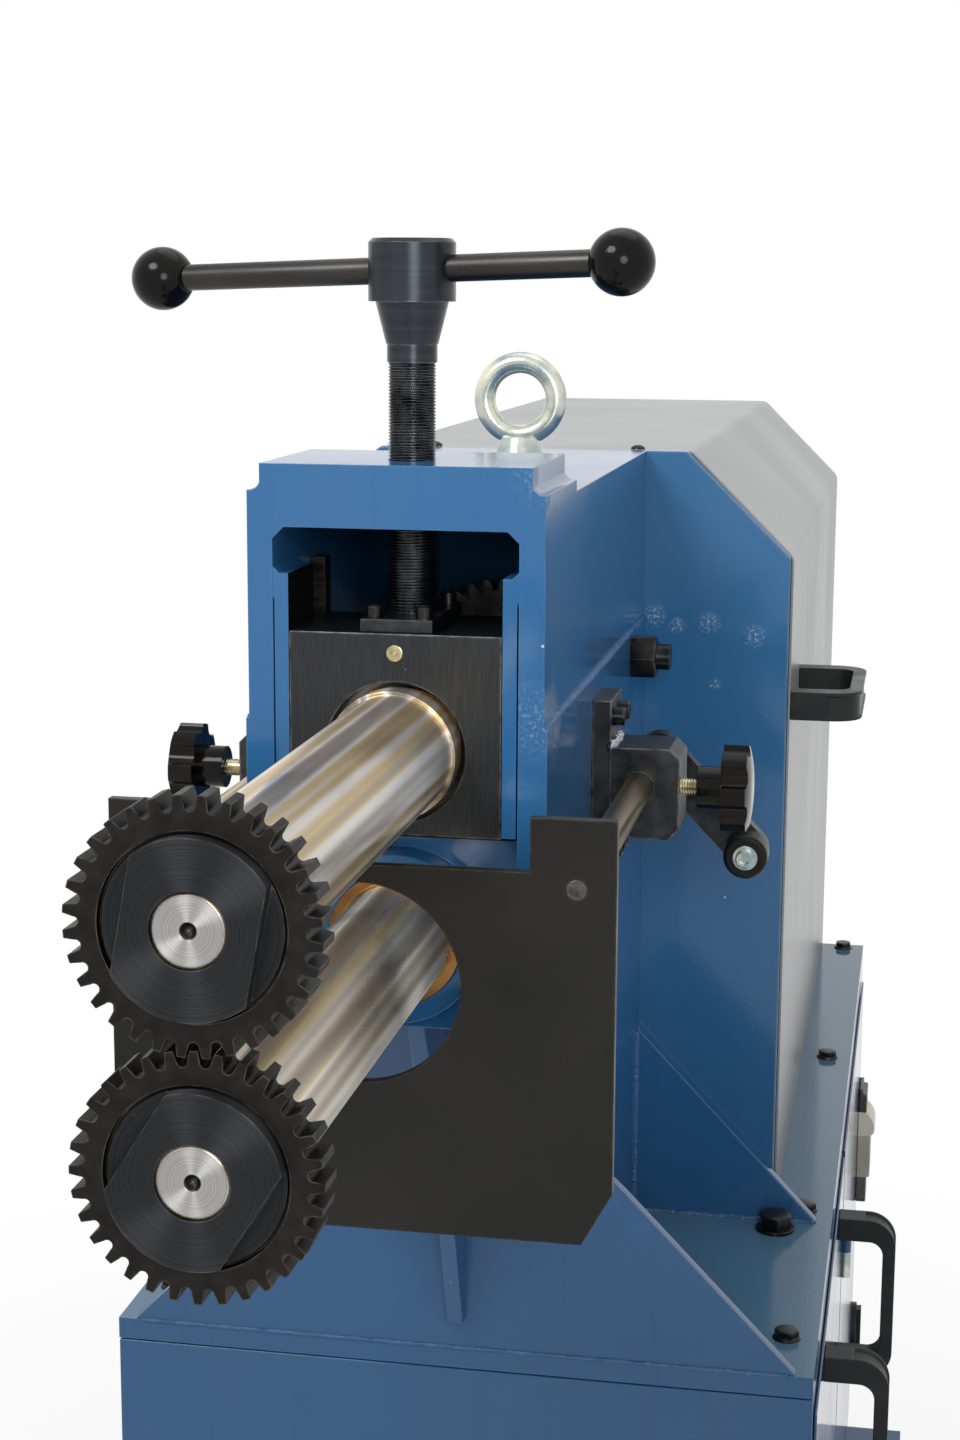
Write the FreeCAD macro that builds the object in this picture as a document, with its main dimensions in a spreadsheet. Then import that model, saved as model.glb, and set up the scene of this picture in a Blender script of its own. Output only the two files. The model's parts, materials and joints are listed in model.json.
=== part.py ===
import FreeCAD, Part
import Sketcher
import math
import os
import re

# Powered swaging machine on a cabinet. X runs across it, Y from the rolls to the back, Z up.
# The origin is on the floor under the middle of the cabinet. All lengths are in millimetres.

doc = FreeCAD.newDocument("SwagingMachine")
sheet = doc.addObject("Spreadsheet::Sheet", "sizes")

SIZES = {
    # cabinet and what stands on the floor
    "cabinet_wide": 516, "cabinet_long": 1144, "cabinet_high": 590, "cabinet_wall": 3,
    "foot_margin": 65, "foot_thick": 10, "anchor_hole": 18, "anchor_inset": 72,
    "base_thick": 16, "doorway_edge": 34, "doorway_foot": 40, "doorway_post": 40,
    "front_doorway": 500, "door_lap": 12, "door_thick": 2, "door_fold": 12, "door_gap": 0.5, "lip_gap": 2,
    # lift-off panel handles
    "pull_high": 146, "pull_reach": 50, "pull_wide": 24, "pull_thick": 11, "pull_drop": 29,
    "pull_spacing": 280, "pull_front": 143, "pull_round": 24, "pull_foot": 20, "pull_inner_round": 12,
    # hinges, latch and isolator of the rear door
    "hinge_pin": 4, "hinge_barrel": 5.5, "hinge_high": 50, "hinge_inset": 60, "hinge_slack": 0.08,
    "latch_radius": 28, "latch_reach": 11, "latch_drop": 436, "latch_back": 52, "latch_thick": 5.5,
    "latch_grip_long": 48, "latch_grip_wide": 14,
    "isolator_wide": 46, "isolator_high": 138, "isolator_drop": 136, "isolator_back": 26,
    "isolator_deep": 18.5, "isolator_step": 3.5, "isolator_foot_high": 32, "isolator_dome": 82,
    "isolator_neck": 110, "isolator_neck_deep": 9.5, "isolator_round": 6, "isolator_shoulder": 102,
    "isolator_shoulder_deep": 16.6, "isolator_cap_deep": 4.8,
    # base bolts
    "bolt_thread": 10, "bolt_flats": 16, "bolt_head": 7, "bolt_flange": 10.5, "bolt_hole_slack": 0.5,
    "bolt_inset": 23, "bolt_row_start": 63, "bolt_row_step": 251, "bolt_row_end": 14,
    "heavy_thread": 16, "heavy_flats": 24, "heavy_head": 11, "heavy_washer": 16, "heavy_washer_thick": 3,
    "heavy_inset": 45, "heavy_from_plate": 31, "heavy_depth": 14,
    # welded head
    "overhang": 202, "head_wide": 184, "head_high": 632, "side_thick": 16, "column_long": 500,
    "upper_side_high": 133, "low_side_proud": 2, "cheek_end": 300, "chin_drop": 12,
    "nut_block_long": 124, "nut_block_rise": 23.5, "nut_block_sink": 15, "nut_top_inset": 8,
    "nut_neck": 11.5, "nut_flare": 4.8, "window_corner": 7, "roof_thick": 16,
    "rail_thick": 9.8, "rail_long": 60, "rail_top": 589, "rail_foot": 430, "rail_corner": 4,
    "keeper_long": 14, "front_plate_thick": 12, "front_plate_high": 153, "front_foot_inset": 13,
    "front_slope_from": 120, "front_slope_high": 128, "rib_thick": 12, "rib_foot": 21,
    "rib_front": 52, "rib_knee_reach": 38.4, "rib_knee_high": 101, "rib_toe_reach": 8,
    "housing_front": 20, "housing_long": 92, "housing_foot": 300,
    "housing_top": 424, "boss_radius": 54, "boss_reach": 22,
    # rear plate, gussets and sheet cover
    "rear_plate_thick": 12, "rear_corner": 83, "shaft_hole_slack": 4.6, "gusset_thick": 12,
    "gusset_high": 159, "gusset_inset": 12, "cover_margin": 47.5, "cover_lap": 3, "cover_sheet": 2,
    "cover_bend": 12,
    "cover_handle_reach": 57, "cover_handle_foot": 417, "cover_handle_high": 23,
    "cover_screw_head": 6, "cover_screw_rise": 3.5, "cover_screw_inset": 7, "cover_screw_x": 83,
    # shafts, both along Y
    "upper_axis_high": 480.6, "shaft_spacing": 117.5, "nose_reach": 415, "upper_shaft": 75,
    "lower_shaft": 70, "collar": 80, "collar_reach": 12, "collar_back": 8, "front_journal": 60,
    "gear_seat": 56, "rear_journal": 50, "nose_seat": 45, "nose_thread": 36.3, "centre_drill": 8,
    "centre_deep": 6.4,
    "running_gap": 0.05, "nose_chamfer": 1.5,
    # forming rolls and their round nuts
    "roll_teeth": 32, "roll_tip": 121.2, "roll_depth": 7.6, "roll_wide": 20.5, "roll_front": 410,
    "roll_recess": 88.5, "recess_deep": 5, "gullet_mouth": 7.5, "gullet_round": 2.5, "tooth_round": 0.9,
    "nut_across": 85, "nut_flats": 64, "nut_thick": 11, "nut_rim": 3, "upper_nut_lean": 10.5,
    "lower_nut_lean": 32,
    # slide block and its self-aligning front bearing
    "block_clear": 0.1, "block_high": 125, "block_below": 51.6, "block_deep": 90, "block_wing": 0.3,
    "mouth_bore": 87, "seat_bore": 92, "seat_start": 22, "seat_long": 46, "ball_radius": 43, "ball_long": 44,
    "ball_slack": 1, "nipple_radius": 5, "nipple_face": 4, "nipple_drop": 12, "nipple_rise": 1.6,
    # lifting screw and its handle
    "screw_from_front": 50, "screw_size": 29.5, "screw_gap": 0.08, "thrust_radius": 19,
    "thrust_high": 10, "keep_wide": 45, "keep_long": 92, "keep_thick": 8, "keep_screw_x": 15.5,
    "keep_screw_y": 37, "keep_head": 5, "keep_head_high": 7.5,
    "hub_foot": 715, "hub_neck": 31, "hub_neck_high": 11, "hub_cone": 45, "hub_cone_high": 25.7,
    "hub_size": 53.6, "hub_high": 37.8, "hub_chamfer": 2.5, "hub_step": 0.5, "hub_grip": 30,
    "bar_size": 16.4, "bar_rise": 55.7, "bar_swing": 12, "bar_tilt": 2, "bar_left": 174,
    "bar_right": 135, "bar_gap": 0.1, "knob_size": 40, "knob_flat": 18,
    # lifting eye
    "eye_from_back": 57, "eye_outer": 72, "eye_inner": 39.5, "eye_collar": 38, "eye_collar_high": 13,
    "eye_thread": 20, "eye_depth": 14, "eye_collar_taper": 4,
    # rocking rear bearing and its trunnions
    "trunnion_inset": 87, "trunnion_size": 20, "trunnion_depth": 22, "trunnion_reach": 30,
    "trunnion_flats": 30, "trunnion_nut": 19.5, "cradle_high": 76, "cradle_long": 34,
    "cradle_side_gap": 0.4, "bush_wall": 6, "shaft_tail": 8,
    # gears between the shafts
    "gear_teeth": 30, "gear_wide": 24, "gear_inset": 105, "gear_backlash": 0.5, "gear_root_gap": 1.6,
    "gear_tip_trim": 0.4, "pressure_angle": 20,
    # lower shaft bearings and drive
    "lower_bush_wall": 7, "bush_lip": 1.3, "bush_lip_long": 1.5, "rear_housing_radius": 62,
    "rear_housing_long": 30, "rear_hub_radius": 46.5, "drive_reach": 70, "drive_clear": 0.6,
    "drive_fit": 0.06,
    "gearbox_radius": 95, "gearbox_long": 190, "gearbox_flange": 120, "gearbox_flange_thick": 16,
    "gearbox_neck": 76, "gearbox_neck_long": 40, "gearbox_end": 72,
    "motor_radius": 80, "motor_long": 270, "motor_fin": 9, "motor_fins": 28, "motor_fin_thick": 3,
    "fan_cover_long": 50, "fan_cover_lip": 2, "motor_fin_root": 2,
    # depth gauge
    "stop_reach": 96, "stop_thick": 7, "stop_wide": 300, "stop_hole": 120, "stop_foot": 212.5,
    "stop_top": 434, "ear_top": 466, "ear_inside": 100, "stop_corner": 18, "stop_corner_high": 32,
    "rod_size": 20, "rod_x": 127, "rod_z": 425, "rod_spigot": 12, "rod_back": 327, "rod_gap": 0.05,
    "bracket_start": 196, "bracket_long": 54, "bracket_foot": 365, "bracket_high": 118,
    "bracket_thick": 13, "clamp_long": 50, "clamp_foot": 389, "clamp_high": 63, "clamp_wide": 48,
    "clamp_corner": 7, "clamp_start": 190, "bracket_head": 6.5,
    "bracket_head_high": 8, "bracket_screw_step": 26, "bracket_screw_z": 13,
    "stud_size": 12, "stud_reach": 12, "knob_hub": 29.5, "knob_hub_high": 17, "star_radius": 30,
    "star_thick": 17, "star_lobes": 7, "star_scallop": 9, "star_bite": 4, "star_from_block": 9.5,
    "star_dome": 3.5, "star_cap": 8, "stud_gap": 0.1,
    "lever_thick": 12, "lever_wide": 15, "lever_x": 193.5, "lever_z": 355,
    "grip_radius": 16, "grip_long": 25, "grip_washer": 9, "grip_washer_thick": 2,
    "grip_head": 6.5, "grip_head_high": 5, "grip_chamfer": 2,
    # how far a cutter runs on past a face
    "overrun": 1,
}

# Places worked out from the driving sizes, as formulas of the names above.
PLACES = {
    "half_wide": "cabinet_wide / 2",
    "half_long": "cabinet_long / 2",
    "front_y": "-cabinet_long / 2",
    "head_front": "front_y - overhang",
    "cabinet_top": "foot_thick + cabinet_high",
    "base_top": "cabinet_top + base_thick",
    "head_top": "base_top + head_high",
    "seam": "head_top - upper_side_high",
    "side_out": "head_wide / 2",
    "side_in": "side_out - side_thick",
    "low_side_out": "side_out + low_side_proud",
    "column_back": "head_front + column_long",
    "rear_face": "column_back + rear_plate_thick",
    "upper_axis": "base_top + upper_axis_high",
    "lower_axis": "upper_axis - shaft_spacing",
    "rail_in": "side_in - rail_thick",
    "block_half": "rail_in - block_clear",
    "block_foot": "upper_axis - block_below",
    "block_top": "block_foot + block_high",
    "keep_top": "block_top + keep_thick",
    "screw_y": "head_front + screw_from_front",
    "eye_y": "column_back - eye_from_back",
    "nut_top": "head_top + nut_block_rise",
    "window_top": "head_top - nut_block_sink",
    "bar_z": "base_top + hub_foot + bar_rise",
    "screw_end": "hub_foot + hub_grip",
    "trunnion_back": "column_long - trunnion_inset",
    "trunnion_y": "head_front + trunnion_back",
    "stop_front": "head_front - stop_reach",
    "rod_height": "base_top + rod_z",
    "clamp_out": "low_side_out + bracket_thick + clamp_wide",
    "doorway_low": "foot_thick + doorway_foot",
    "doorway_high": "cabinet_top - doorway_edge",
    "front_doorway_start": "front_y + doorway_edge",
    "front_doorway_end": "front_doorway_start + front_doorway",
    "rear_doorway_start": "front_doorway_end + doorway_post",
    "rear_doorway_end": "half_long - doorway_edge",
    "panel_face": "half_wide + door_gap + door_thick",
    "bolt_x": "half_wide - bolt_inset",
    "ball_centre": "head_front + seat_start + seat_long / 2",
    "gear_back": "column_long - gear_inset",
    "gear_start": "gear_back - gear_wide",
    "module": "shaft_spacing / gear_teeth",
    "cover_wide": "cabinet_wide - cover_margin * 2",
    "rear_plate_wide": "cover_wide - cover_lap * 2",
    "gusset_reach": "half_wide - gusset_inset",
    "star_line": "head_front + clamp_start + star_from_block",
}


def formula(text):
    """Spell out a formula of size and place names as one that the sheet can work out."""
    def spell(match):
        word = match.group(0)
        if word in PLACES:
            return "(" + formula(PLACES[word]) + ")"
        if word in SIZES:
            return "sizes." + word
        return word
    return re.sub(r"[a-z][a-z_]*", spell, str(text))


def value(text):
    """The number that a formula gives now."""
    return float(sheet.evalExpression(formula(text)))


def fill_sheet():
    """One row for each driving size: its name beside its value."""
    for row, (name, number) in enumerate(SIZES.items(), 1):
        sheet.set(f"A{row}", name)
        sheet.set(f"B{row}", str(number))
        sheet.setAlias(f"B{row}", name)
    doc.recompute()


def bind(thing, **formulas):
    for name, text in formulas.items():
        thing.setExpression(name, formula(text))
    return thing


def place(thing, x="0", y="0", z="0", turn=None):
    """Put a piece at formulas of X, Y and Z; turn is an axis and an angle."""
    if turn:
        thing.Placement = FreeCAD.Placement(FreeCAD.Vector(), FreeCAD.Rotation(*turn))
    thing.setExpression("Placement.Base.x", formula(x))
    thing.setExpression("Placement.Base.y", formula(y))
    thing.setExpression("Placement.Base.z", formula(z))
    return thing


# Share of its radius by which the middle of a quarter bend stands inside the corner.
INSIDE = 0.2929
# Share of a low dome's height that it has halfway out to its rim.
DOME_HALFWAY = 0.75
NEAR = 0.01
X_AXIS = FreeCAD.Vector(1, 0, 0)
Y_AXIS = FreeCAD.Vector(0, 1, 0)
Z_AXIS = FreeCAD.Vector(0, 0, 1)
TO_Y = (X_AXIS, -90)
TO_X = (Y_AXIS, 90)


def box(label, x, y, z, wide, deep, high):
    piece = bind(doc.addObject("Part::Box", label), Length=wide, Width=deep, Height=high)
    return place(piece, x, y, z)


def rod(label, x, y, z, radius, length, turn=None):
    piece = bind(doc.addObject("Part::Cylinder", label), Radius=radius, Height=length)
    return place(piece, x, y, z, turn)


def hexagon(label, x, y, z, flats, high, turn=None):
    """A six-sided head or nut, given its size across the flats."""
    piece = doc.addObject("Part::Prism", label)
    piece.Polygon = 6
    bind(piece, Circumradius=f"({flats}) / 2 / cos(30)", Height=high)
    return place(piece, x, y, z, turn)


def joined(label, pieces):
    whole = doc.addObject("Part::MultiFuse", label)
    whole.Shapes = pieces
    whole.Refine = True
    return whole


def cut(label, base, tool):
    whole = doc.addObject("Part::Cut", label)
    whole.Base = base
    whole.Tool = tool
    return whole


def group(label, pieces):
    """Separate solids that share one node."""
    whole = doc.addObject("Part::Compound", label)
    whole.Links = pieces
    return whole


def mirrored(label, piece):
    """A left-hand copy of a right-hand piece."""
    copy = doc.addObject("Part::Mirroring", label)
    copy.Source = piece
    copy.Normal = X_AXIS
    return copy


def body(label):
    return doc.addObject("PartDesign::Body", label)


def sketch(owner, role, outlines=(), circles=()):
    """Closed outlines of formula points and circles (u, v, radius) on one of the body's own planes.

    A point of an outline is (u, v). A bend through a middle point is (u, v, middle_u, middle_v):
    the arc runs from the point before it through the middle to this point.
    """
    drawing = owner.newObject("Sketcher::SketchObject", owner.Name + "_sketch")
    plane = [feature for feature in owner.Origin.OriginFeatures if feature.Role == role][0]
    drawing.AttachmentSupport = [(plane, "")]
    drawing.MapMode = "FlatFace"
    for outline in outlines:
        draw_outline(drawing, outline)
    for u, v, radius in circles:
        centre = FreeCAD.Vector(value(u), value(v), 0)
        number = drawing.addGeometry(Part.Circle(centre, Z_AXIS, value(radius)), False)
        pin_point(drawing, number, 3, u, v)
        size = drawing.addConstraint(Sketcher.Constraint("Radius", number, value(radius)))
        drawing.setExpression(f"Constraints[{size}]", formula(radius))
    return drawing


def pin_point(drawing, number, end, u, v):
    """Hold one point of the sketch at formulas of its two distances from the origin."""
    for kind, text in (("DistanceX", u), ("DistanceY", v)):
        rule = Sketcher.Constraint(kind, -1, 1, number, end, value(text))
        rule_number = drawing.addConstraint(rule)
        drawing.setExpression(f"Constraints[{rule_number}]", formula(text))


def draw_outline(drawing, outline):
    """Lines and bends between the points, joined end to end, each point held by its formulas."""
    spots = [FreeCAD.Vector(value(point[0]), value(point[1]), 0) for point in outline]
    ends = []
    for here, point in enumerate(outline):
        start, finish = spots[here - 1], spots[here]
        if len(point) == 2:
            number = drawing.addGeometry(Part.LineSegment(start, finish), False)
            ends.append((number, 1, 2))
            continue
        middle = FreeCAD.Vector(value(point[2]), value(point[3]), 0)
        number = drawing.addGeometry(Part.Arc(start, middle, finish), False)
        forward = drawing.getPoint(number, 1).distanceToPoint(start) < 1e-6
        ends.append((number, 1, 2) if forward else (number, 2, 1))
        spot = drawing.addGeometry(Part.Point(middle), True)
        pin_point(drawing, spot, 1, point[2], point[3])
        drawing.addConstraint(Sketcher.Constraint("PointOnObject", spot, 1, number))
    for here, (number, start, finish) in enumerate(ends):
        before, _, before_finish = ends[here - 1]
        drawing.addConstraint(Sketcher.Constraint("Coincident", before, before_finish, number, start))
        pin_point(drawing, number, finish, outline[here][0], outline[here][1])


def rectangle(u_low, v_low, u_high, v_high):
    return [(u_low, v_low), (u_high, v_low), (u_high, v_high), (u_low, v_high)]


def pad(owner, drawing, length, reverse=False, both=False):
    feature = owner.newObject("PartDesign::Pad", owner.Name + "_pad")
    feature.Profile = drawing
    bind(feature, Length=length)
    feature.Reversed = reverse
    feature.Midplane = both
    doc.recompute()
    return feature


def pocket(owner, drawing, length, reverse=False, both=False):
    """Cut the sketch out of the body, and make sure that it does remove something."""
    before = owner.Shape.Volume
    feature = owner.newObject("PartDesign::Pocket", owner.Name + "_pocket")
    feature.Profile = drawing
    bind(feature, Length=length)
    feature.Reversed = reverse
    feature.Midplane = both
    doc.recompute()
    if owner.Shape.Volume > before - 1e-6:
        raise RuntimeError(owner.Label + ": a pocket removes nothing")
    return feature


def turned(label, role, axis, profile, bore=None):
    """A turned piece: (along, radius) points revolved about the sketch's own axis.

    A bore formula keeps the profile clear of the axis; without one it closes on the axis.
    """
    inner = bore or "0"
    points = list(profile)
    if points[0][1] != inner:
        points.insert(0, (points[0][0], inner))
    points.append((points[-1][0], inner))
    if axis == "V_Axis":
        points = [(point[1], point[0]) + tuple(point[3:1:-1]) for point in points]
    owner = body(label)
    drawing = sketch(owner, role, [points])
    feature = owner.newObject("PartDesign::Revolution", label + "_turn")
    feature.Profile = drawing
    feature.ReferenceAxis = (drawing, [axis])
    feature.Angle = 360
    doc.recompute()
    return owner


def around(owner, feature, count, role="Y_Axis"):
    """Repeat a feature round one of the body's own axes."""
    pattern = owner.newObject("PartDesign::PolarPattern", owner.Name + "_pattern")
    axis = [part for part in owner.Origin.OriginFeatures if part.Role == role][0]
    pattern.Originals = [feature]
    pattern.Axis = (axis, [""])
    pattern.Angle = 360
    bind(pattern, Occurrences=count)
    owner.Tip = pattern
    doc.recompute()
    return pattern


def edges_along(shape, axis, chosen):
    """Names of the straight edges parallel to an axis whose first point is a chosen one."""
    names = []
    for number, edge in enumerate(shape.Edges, 1):
        first = edge.Vertexes[0].Point
        along = edge.Vertexes[-1].Point - first
        if isinstance(edge.Curve, Part.Line) and along.cross(axis).Length < NEAR and chosen(first):
            names.append(f"Edge{number}")
    return names


def dress(owner, kind, names, size):
    """Round or chamfer the named edges of the body as it stands."""
    base = owner.Tip
    feature = owner.newObject("PartDesign::" + kind, owner.Name + "_" + kind.lower())
    feature.Base = (base, names)
    bind(feature, **{"Radius" if kind == "Fillet" else "Size": size})
    owner.Tip = feature
    doc.recompute()
    return feature


def side_view(label, outline, start, thick, circles=()):
    """A plate that stands along the machine: an outline in Y and Z, thickened along X."""
    plate = body(label)
    pad(plate, sketch(plate, "YZ_Plane", [outline], circles), thick)
    return place(plate, x=start)


def front_view(label, outline, start, thick, circles=()):
    """A plate that stands across the machine: an outline in X and Z, thickened along Y."""
    plate = body(label)
    pad(plate, sketch(plate, "XZ_Plane", [outline], circles), thick, reverse=True)
    return place(plate, y=start)


# Stand

def foot_plate():
    """Anchor plate under the cabinet, wider than it, with a hole near each corner."""
    plate = body("foot_plate")
    reach = "half_wide + foot_margin"
    outline = rectangle(f"-({reach})", "-half_long", reach, "half_long")
    holes = [(f"{across} * (half_wide + foot_margin / 2)", f"{along} * (half_long - anchor_inset)",
              "anchor_hole / 2") for across in (-1, 1) for along in (-1, 1)]
    pad(plate, sketch(plate, "XY_Plane", [outline], holes), "foot_thick")
    return plate


def cabinet_shell():
    """Sheet-steel box without top or floor, with two doorways in its right-hand wall."""
    shell = body("cabinet_shell")
    outer = rectangle("-half_wide", "-half_long", "half_wide", "half_long")
    inner = rectangle("-half_wide + cabinet_wall", "-half_long + cabinet_wall",
                      "half_wide - cabinet_wall", "half_long - cabinet_wall")
    pad(shell, sketch(shell, "XY_Plane", [outer, inner]), "cabinet_high")
    doorways = [rectangle(start, "doorway_foot", end, "cabinet_high - doorway_edge")
                for start, end in (("front_doorway_start", "front_doorway_end"),
                                   ("rear_doorway_start", "rear_doorway_end"))]
    pocket(shell, sketch(shell, "YZ_Plane", doorways), "half_wide + cabinet_wall", reverse=True)
    return place(shell, z="foot_thick")


def tray(label, start, end):
    """A folded sheet that laps its doorway: a flat face with its edges turned in to the cabinet."""
    sheet_metal = body(label)
    outer = rectangle(f"{start} - door_lap", "doorway_low - door_lap",
                      f"{end} + door_lap", "doorway_high + door_lap")
    pad(sheet_metal, sketch(sheet_metal, "YZ_Plane", [outer]), "door_thick")
    lip_out = rectangle(f"{start} + lip_gap", "doorway_low + lip_gap",
                        f"{end} - lip_gap", "doorway_high - lip_gap")
    lip_in = rectangle(f"{start} + lip_gap + door_thick", "doorway_low + lip_gap + door_thick",
                       f"{end} - lip_gap - door_thick", "doorway_high - lip_gap - door_thick")
    pad(sheet_metal, sketch(sheet_metal, "YZ_Plane", [lip_out, lip_in]), "door_fold", reverse=True)
    return place(sheet_metal, x="half_wide + door_gap")


def bow_outline(reach):
    """U of a moulded handle from its face outwards: two feet, round shoulders and a thin grip."""
    inner = f"({reach} - pull_thick)"
    outer_bend, inner_bend = f"pull_round * {INSIDE}", f"pull_inner_round * {INSIDE}"
    return [
        ("0", "0"),
        (f"{reach} - pull_round", "0"),
        (reach, "pull_round", f"{reach} - {outer_bend}", outer_bend),
        (reach, "pull_high - pull_round"),
        (f"{reach} - pull_round", "pull_high", f"{reach} - {outer_bend}", f"pull_high - {outer_bend}"),
        ("0", "pull_high"),
        ("0", "pull_high - pull_foot"),
        (f"{inner} - pull_inner_round", "pull_high - pull_foot"),
        (inner, "pull_high - pull_foot - pull_inner_round",
         f"{inner} - {inner_bend}", f"pull_high - pull_foot - {inner_bend}"),
        (inner, "pull_foot + pull_inner_round"),
        (f"{inner} - pull_inner_round", "pull_foot", f"{inner} - {inner_bend}", f"pull_foot + {inner_bend}"),
        ("0", "pull_foot"),
    ]


def pull_handle(label, y):
    """Moulded U handle that stands upright on the panel."""
    bow = body(label)
    pad(bow, sketch(bow, "XZ_Plane", [bow_outline("pull_reach")]), "pull_wide", both=True)
    return place(bow, x="panel_face", y=y, z="cabinet_top - pull_drop - pull_high")


def panel_handles():
    """The pair of pull handles on the lift-off panel."""
    first = pull_handle("pull_front", "front_y + pull_front")
    second = pull_handle("pull_back", "front_y + pull_front + pull_spacing")
    return group("panel_handles", [first, second])


def hinge_places():
    """The height of each hinge of the rear door."""
    return (("low", "doorway_low + hinge_inset"), ("high", "doorway_high - hinge_inset - hinge_high"))


def door_hinges():
    """Two lift-off hinges at the rear door's front edge: pins fixed to the cabinet."""
    pieces = []
    for name, z in hinge_places():
        y = "rear_doorway_start - door_lap - hinge_barrel"
        x = "half_wide + hinge_barrel"
        pin = rod(f"hinge_pin_{name}", x, y, z, "hinge_pin", "hinge_high")
        knuckle = rod(f"hinge_knuckle_{name}", x, y, z, "hinge_barrel", "hinge_high / 2 - hinge_slack")
        pieces.append(joined(f"hinge_{name}", [pin, knuckle]))
    return group("door_hinges", pieces)


def rear_door():
    """Hinged door over the rear doorway, with the upper half of each hinge."""
    leaf = tray("rear_door_leaf", "rear_doorway_start", "rear_doorway_end")
    pieces = [leaf]
    for name, z in hinge_places():
        y = "rear_doorway_start - door_lap - hinge_barrel"
        x = "half_wide + hinge_barrel"
        barrel = rod(f"door_barrel_{name}", x, y, f"{z} + hinge_high / 2", "hinge_barrel",
                     "hinge_high / 2")
        bore = rod(f"door_bore_{name}", x, y, z, "hinge_pin + hinge_slack", "hinge_high * 2")
        strap = box(f"door_strap_{name}", "half_wide + door_gap", y, f"{z} + hinge_high / 2",
                    "door_thick", "hinge_barrel + door_lap", "hinge_high / 2")
        strap_all = joined(f"door_strap_all_{name}", [barrel, strap])
        pieces.append(cut(f"door_knuckle_{name}", strap_all, bore))
    return joined("rear_door", pieces)


def door_latch():
    """Round quarter-turn latch on the door, with a raised grip across it."""
    y = "half_long - latch_back"
    z = "cabinet_top - latch_drop"
    disc = rod("latch_disc", "panel_face", y, z, "latch_radius", "latch_thick", TO_X)
    grip = box("latch_grip", "panel_face", f"{y} - latch_grip_wide / 2", f"{z} - latch_grip_long / 2",
               "latch_reach", "latch_grip_wide", "latch_grip_long")
    return joined("door_latch", [disc, grip])


def isolator_box():
    """Moulded switch housing on the rear door: a dome over a stepped body, narrow at the top."""
    shell = body("isolator_box")
    middle_deep = "isolator_deep - isolator_step"
    outline = [
        ("0", "0"), ("isolator_deep - isolator_step * 2", "0"),
        ("isolator_deep - isolator_step * 2", "isolator_foot_high"), (middle_deep, "isolator_foot_high"),
        (middle_deep, "isolator_dome"), ("isolator_deep", "isolator_dome + isolator_step"),
        ("isolator_neck_deep", "isolator_neck", "isolator_shoulder_deep", "isolator_shoulder"),
        ("isolator_neck_deep", "isolator_high - isolator_round"),
        ("isolator_cap_deep", "isolator_high - isolator_round"),
        ("isolator_cap_deep", "isolator_high"), ("0", "isolator_high"),
    ]
    pad(shell, sketch(shell, "XZ_Plane", [outline]), "isolator_wide", reverse=True)
    lower = edges_along(shell.Shape, X_AXIS, lambda spot: spot.z < NEAR)
    dress(shell, "Fillet", lower, "isolator_round")
    return place(shell, x="panel_face", y="half_long - isolator_back - isolator_wide",
                 z="cabinet_top - isolator_drop - isolator_high")


def base_plate():
    """Thick plate that carries the head, bolted down along both edges."""
    plate = body("base_plate")
    outline = rectangle("-half_wide", "-half_long", "half_wide", "half_long")
    holes = [(x, y, "bolt_thread / 2 + bolt_hole_slack") for x, y in small_bolts()]
    holes += [(x, y, "heavy_thread / 2 + bolt_hole_slack") for x, y in heavy_bolts()]
    pad(plate, sketch(plate, "XY_Plane", [outline], holes), "base_thick")
    return place(plate, z="cabinet_top")


def small_bolts():
    """Four places along each edge: two near the front, one at the back, one halfway between."""
    second = "(front_y + bolt_row_start + bolt_row_step)"
    last = "(half_long - bolt_row_end)"
    places = ("front_y + bolt_row_start", second, f"({second} + {last}) / 2", last)
    return [(f"{side} * bolt_x", y) for side in (-1, 1) for y in places]


def heavy_bolts():
    """One place each side, just in front of the rear plate."""
    return [(f"{side} * (half_wide - heavy_inset)", "column_back - heavy_from_plate") for side in (-1, 1)]


def base_bolts():
    """Flange bolts along the edges and one heavy bolt with a washer on each side."""
    pieces = []
    for number, (x, y) in enumerate(small_bolts()):
        flange = doc.addObject("Part::Cone", f"bolt_flange_{number}")
        bind(flange, Radius1="bolt_flange", Radius2="bolt_flats / 2", Height="bolt_head / 3")
        place(flange, x, y, "base_top")
        head = hexagon(f"bolt_head_{number}", x, y, "base_top", "bolt_flats", "bolt_head")
        shank = rod(f"bolt_shank_{number}", x, y, "cabinet_top", "bolt_thread / 2",
                    "base_thick")
        pieces.append(joined(f"bolt_{number}", [flange, head, shank]))
    for number, (x, y) in enumerate(heavy_bolts()):
        washer = rod(f"heavy_washer_{number}", x, y, "base_top", "heavy_washer", "heavy_washer_thick")
        head = hexagon(f"heavy_head_{number}", x, y, "base_top", "heavy_flats",
                       "heavy_washer_thick + heavy_head")
        shank = rod(f"heavy_shank_{number}", x, y, "base_top - heavy_depth", "heavy_thread / 2",
                    "heavy_depth")
        pieces.append(joined(f"heavy_{number}", [washer, head, shank]))
    return group("base_bolts", pieces)


# Welded head

def head_side_plates():
    """Upper side plates of the head, one each side."""
    right = side_view("head_side", rectangle("head_front", "seam", "column_back", "head_top"),
                      "side_in", "side_thick")
    return group("head_side_plates", [right, mirrored("head_side_left", right)])


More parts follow.
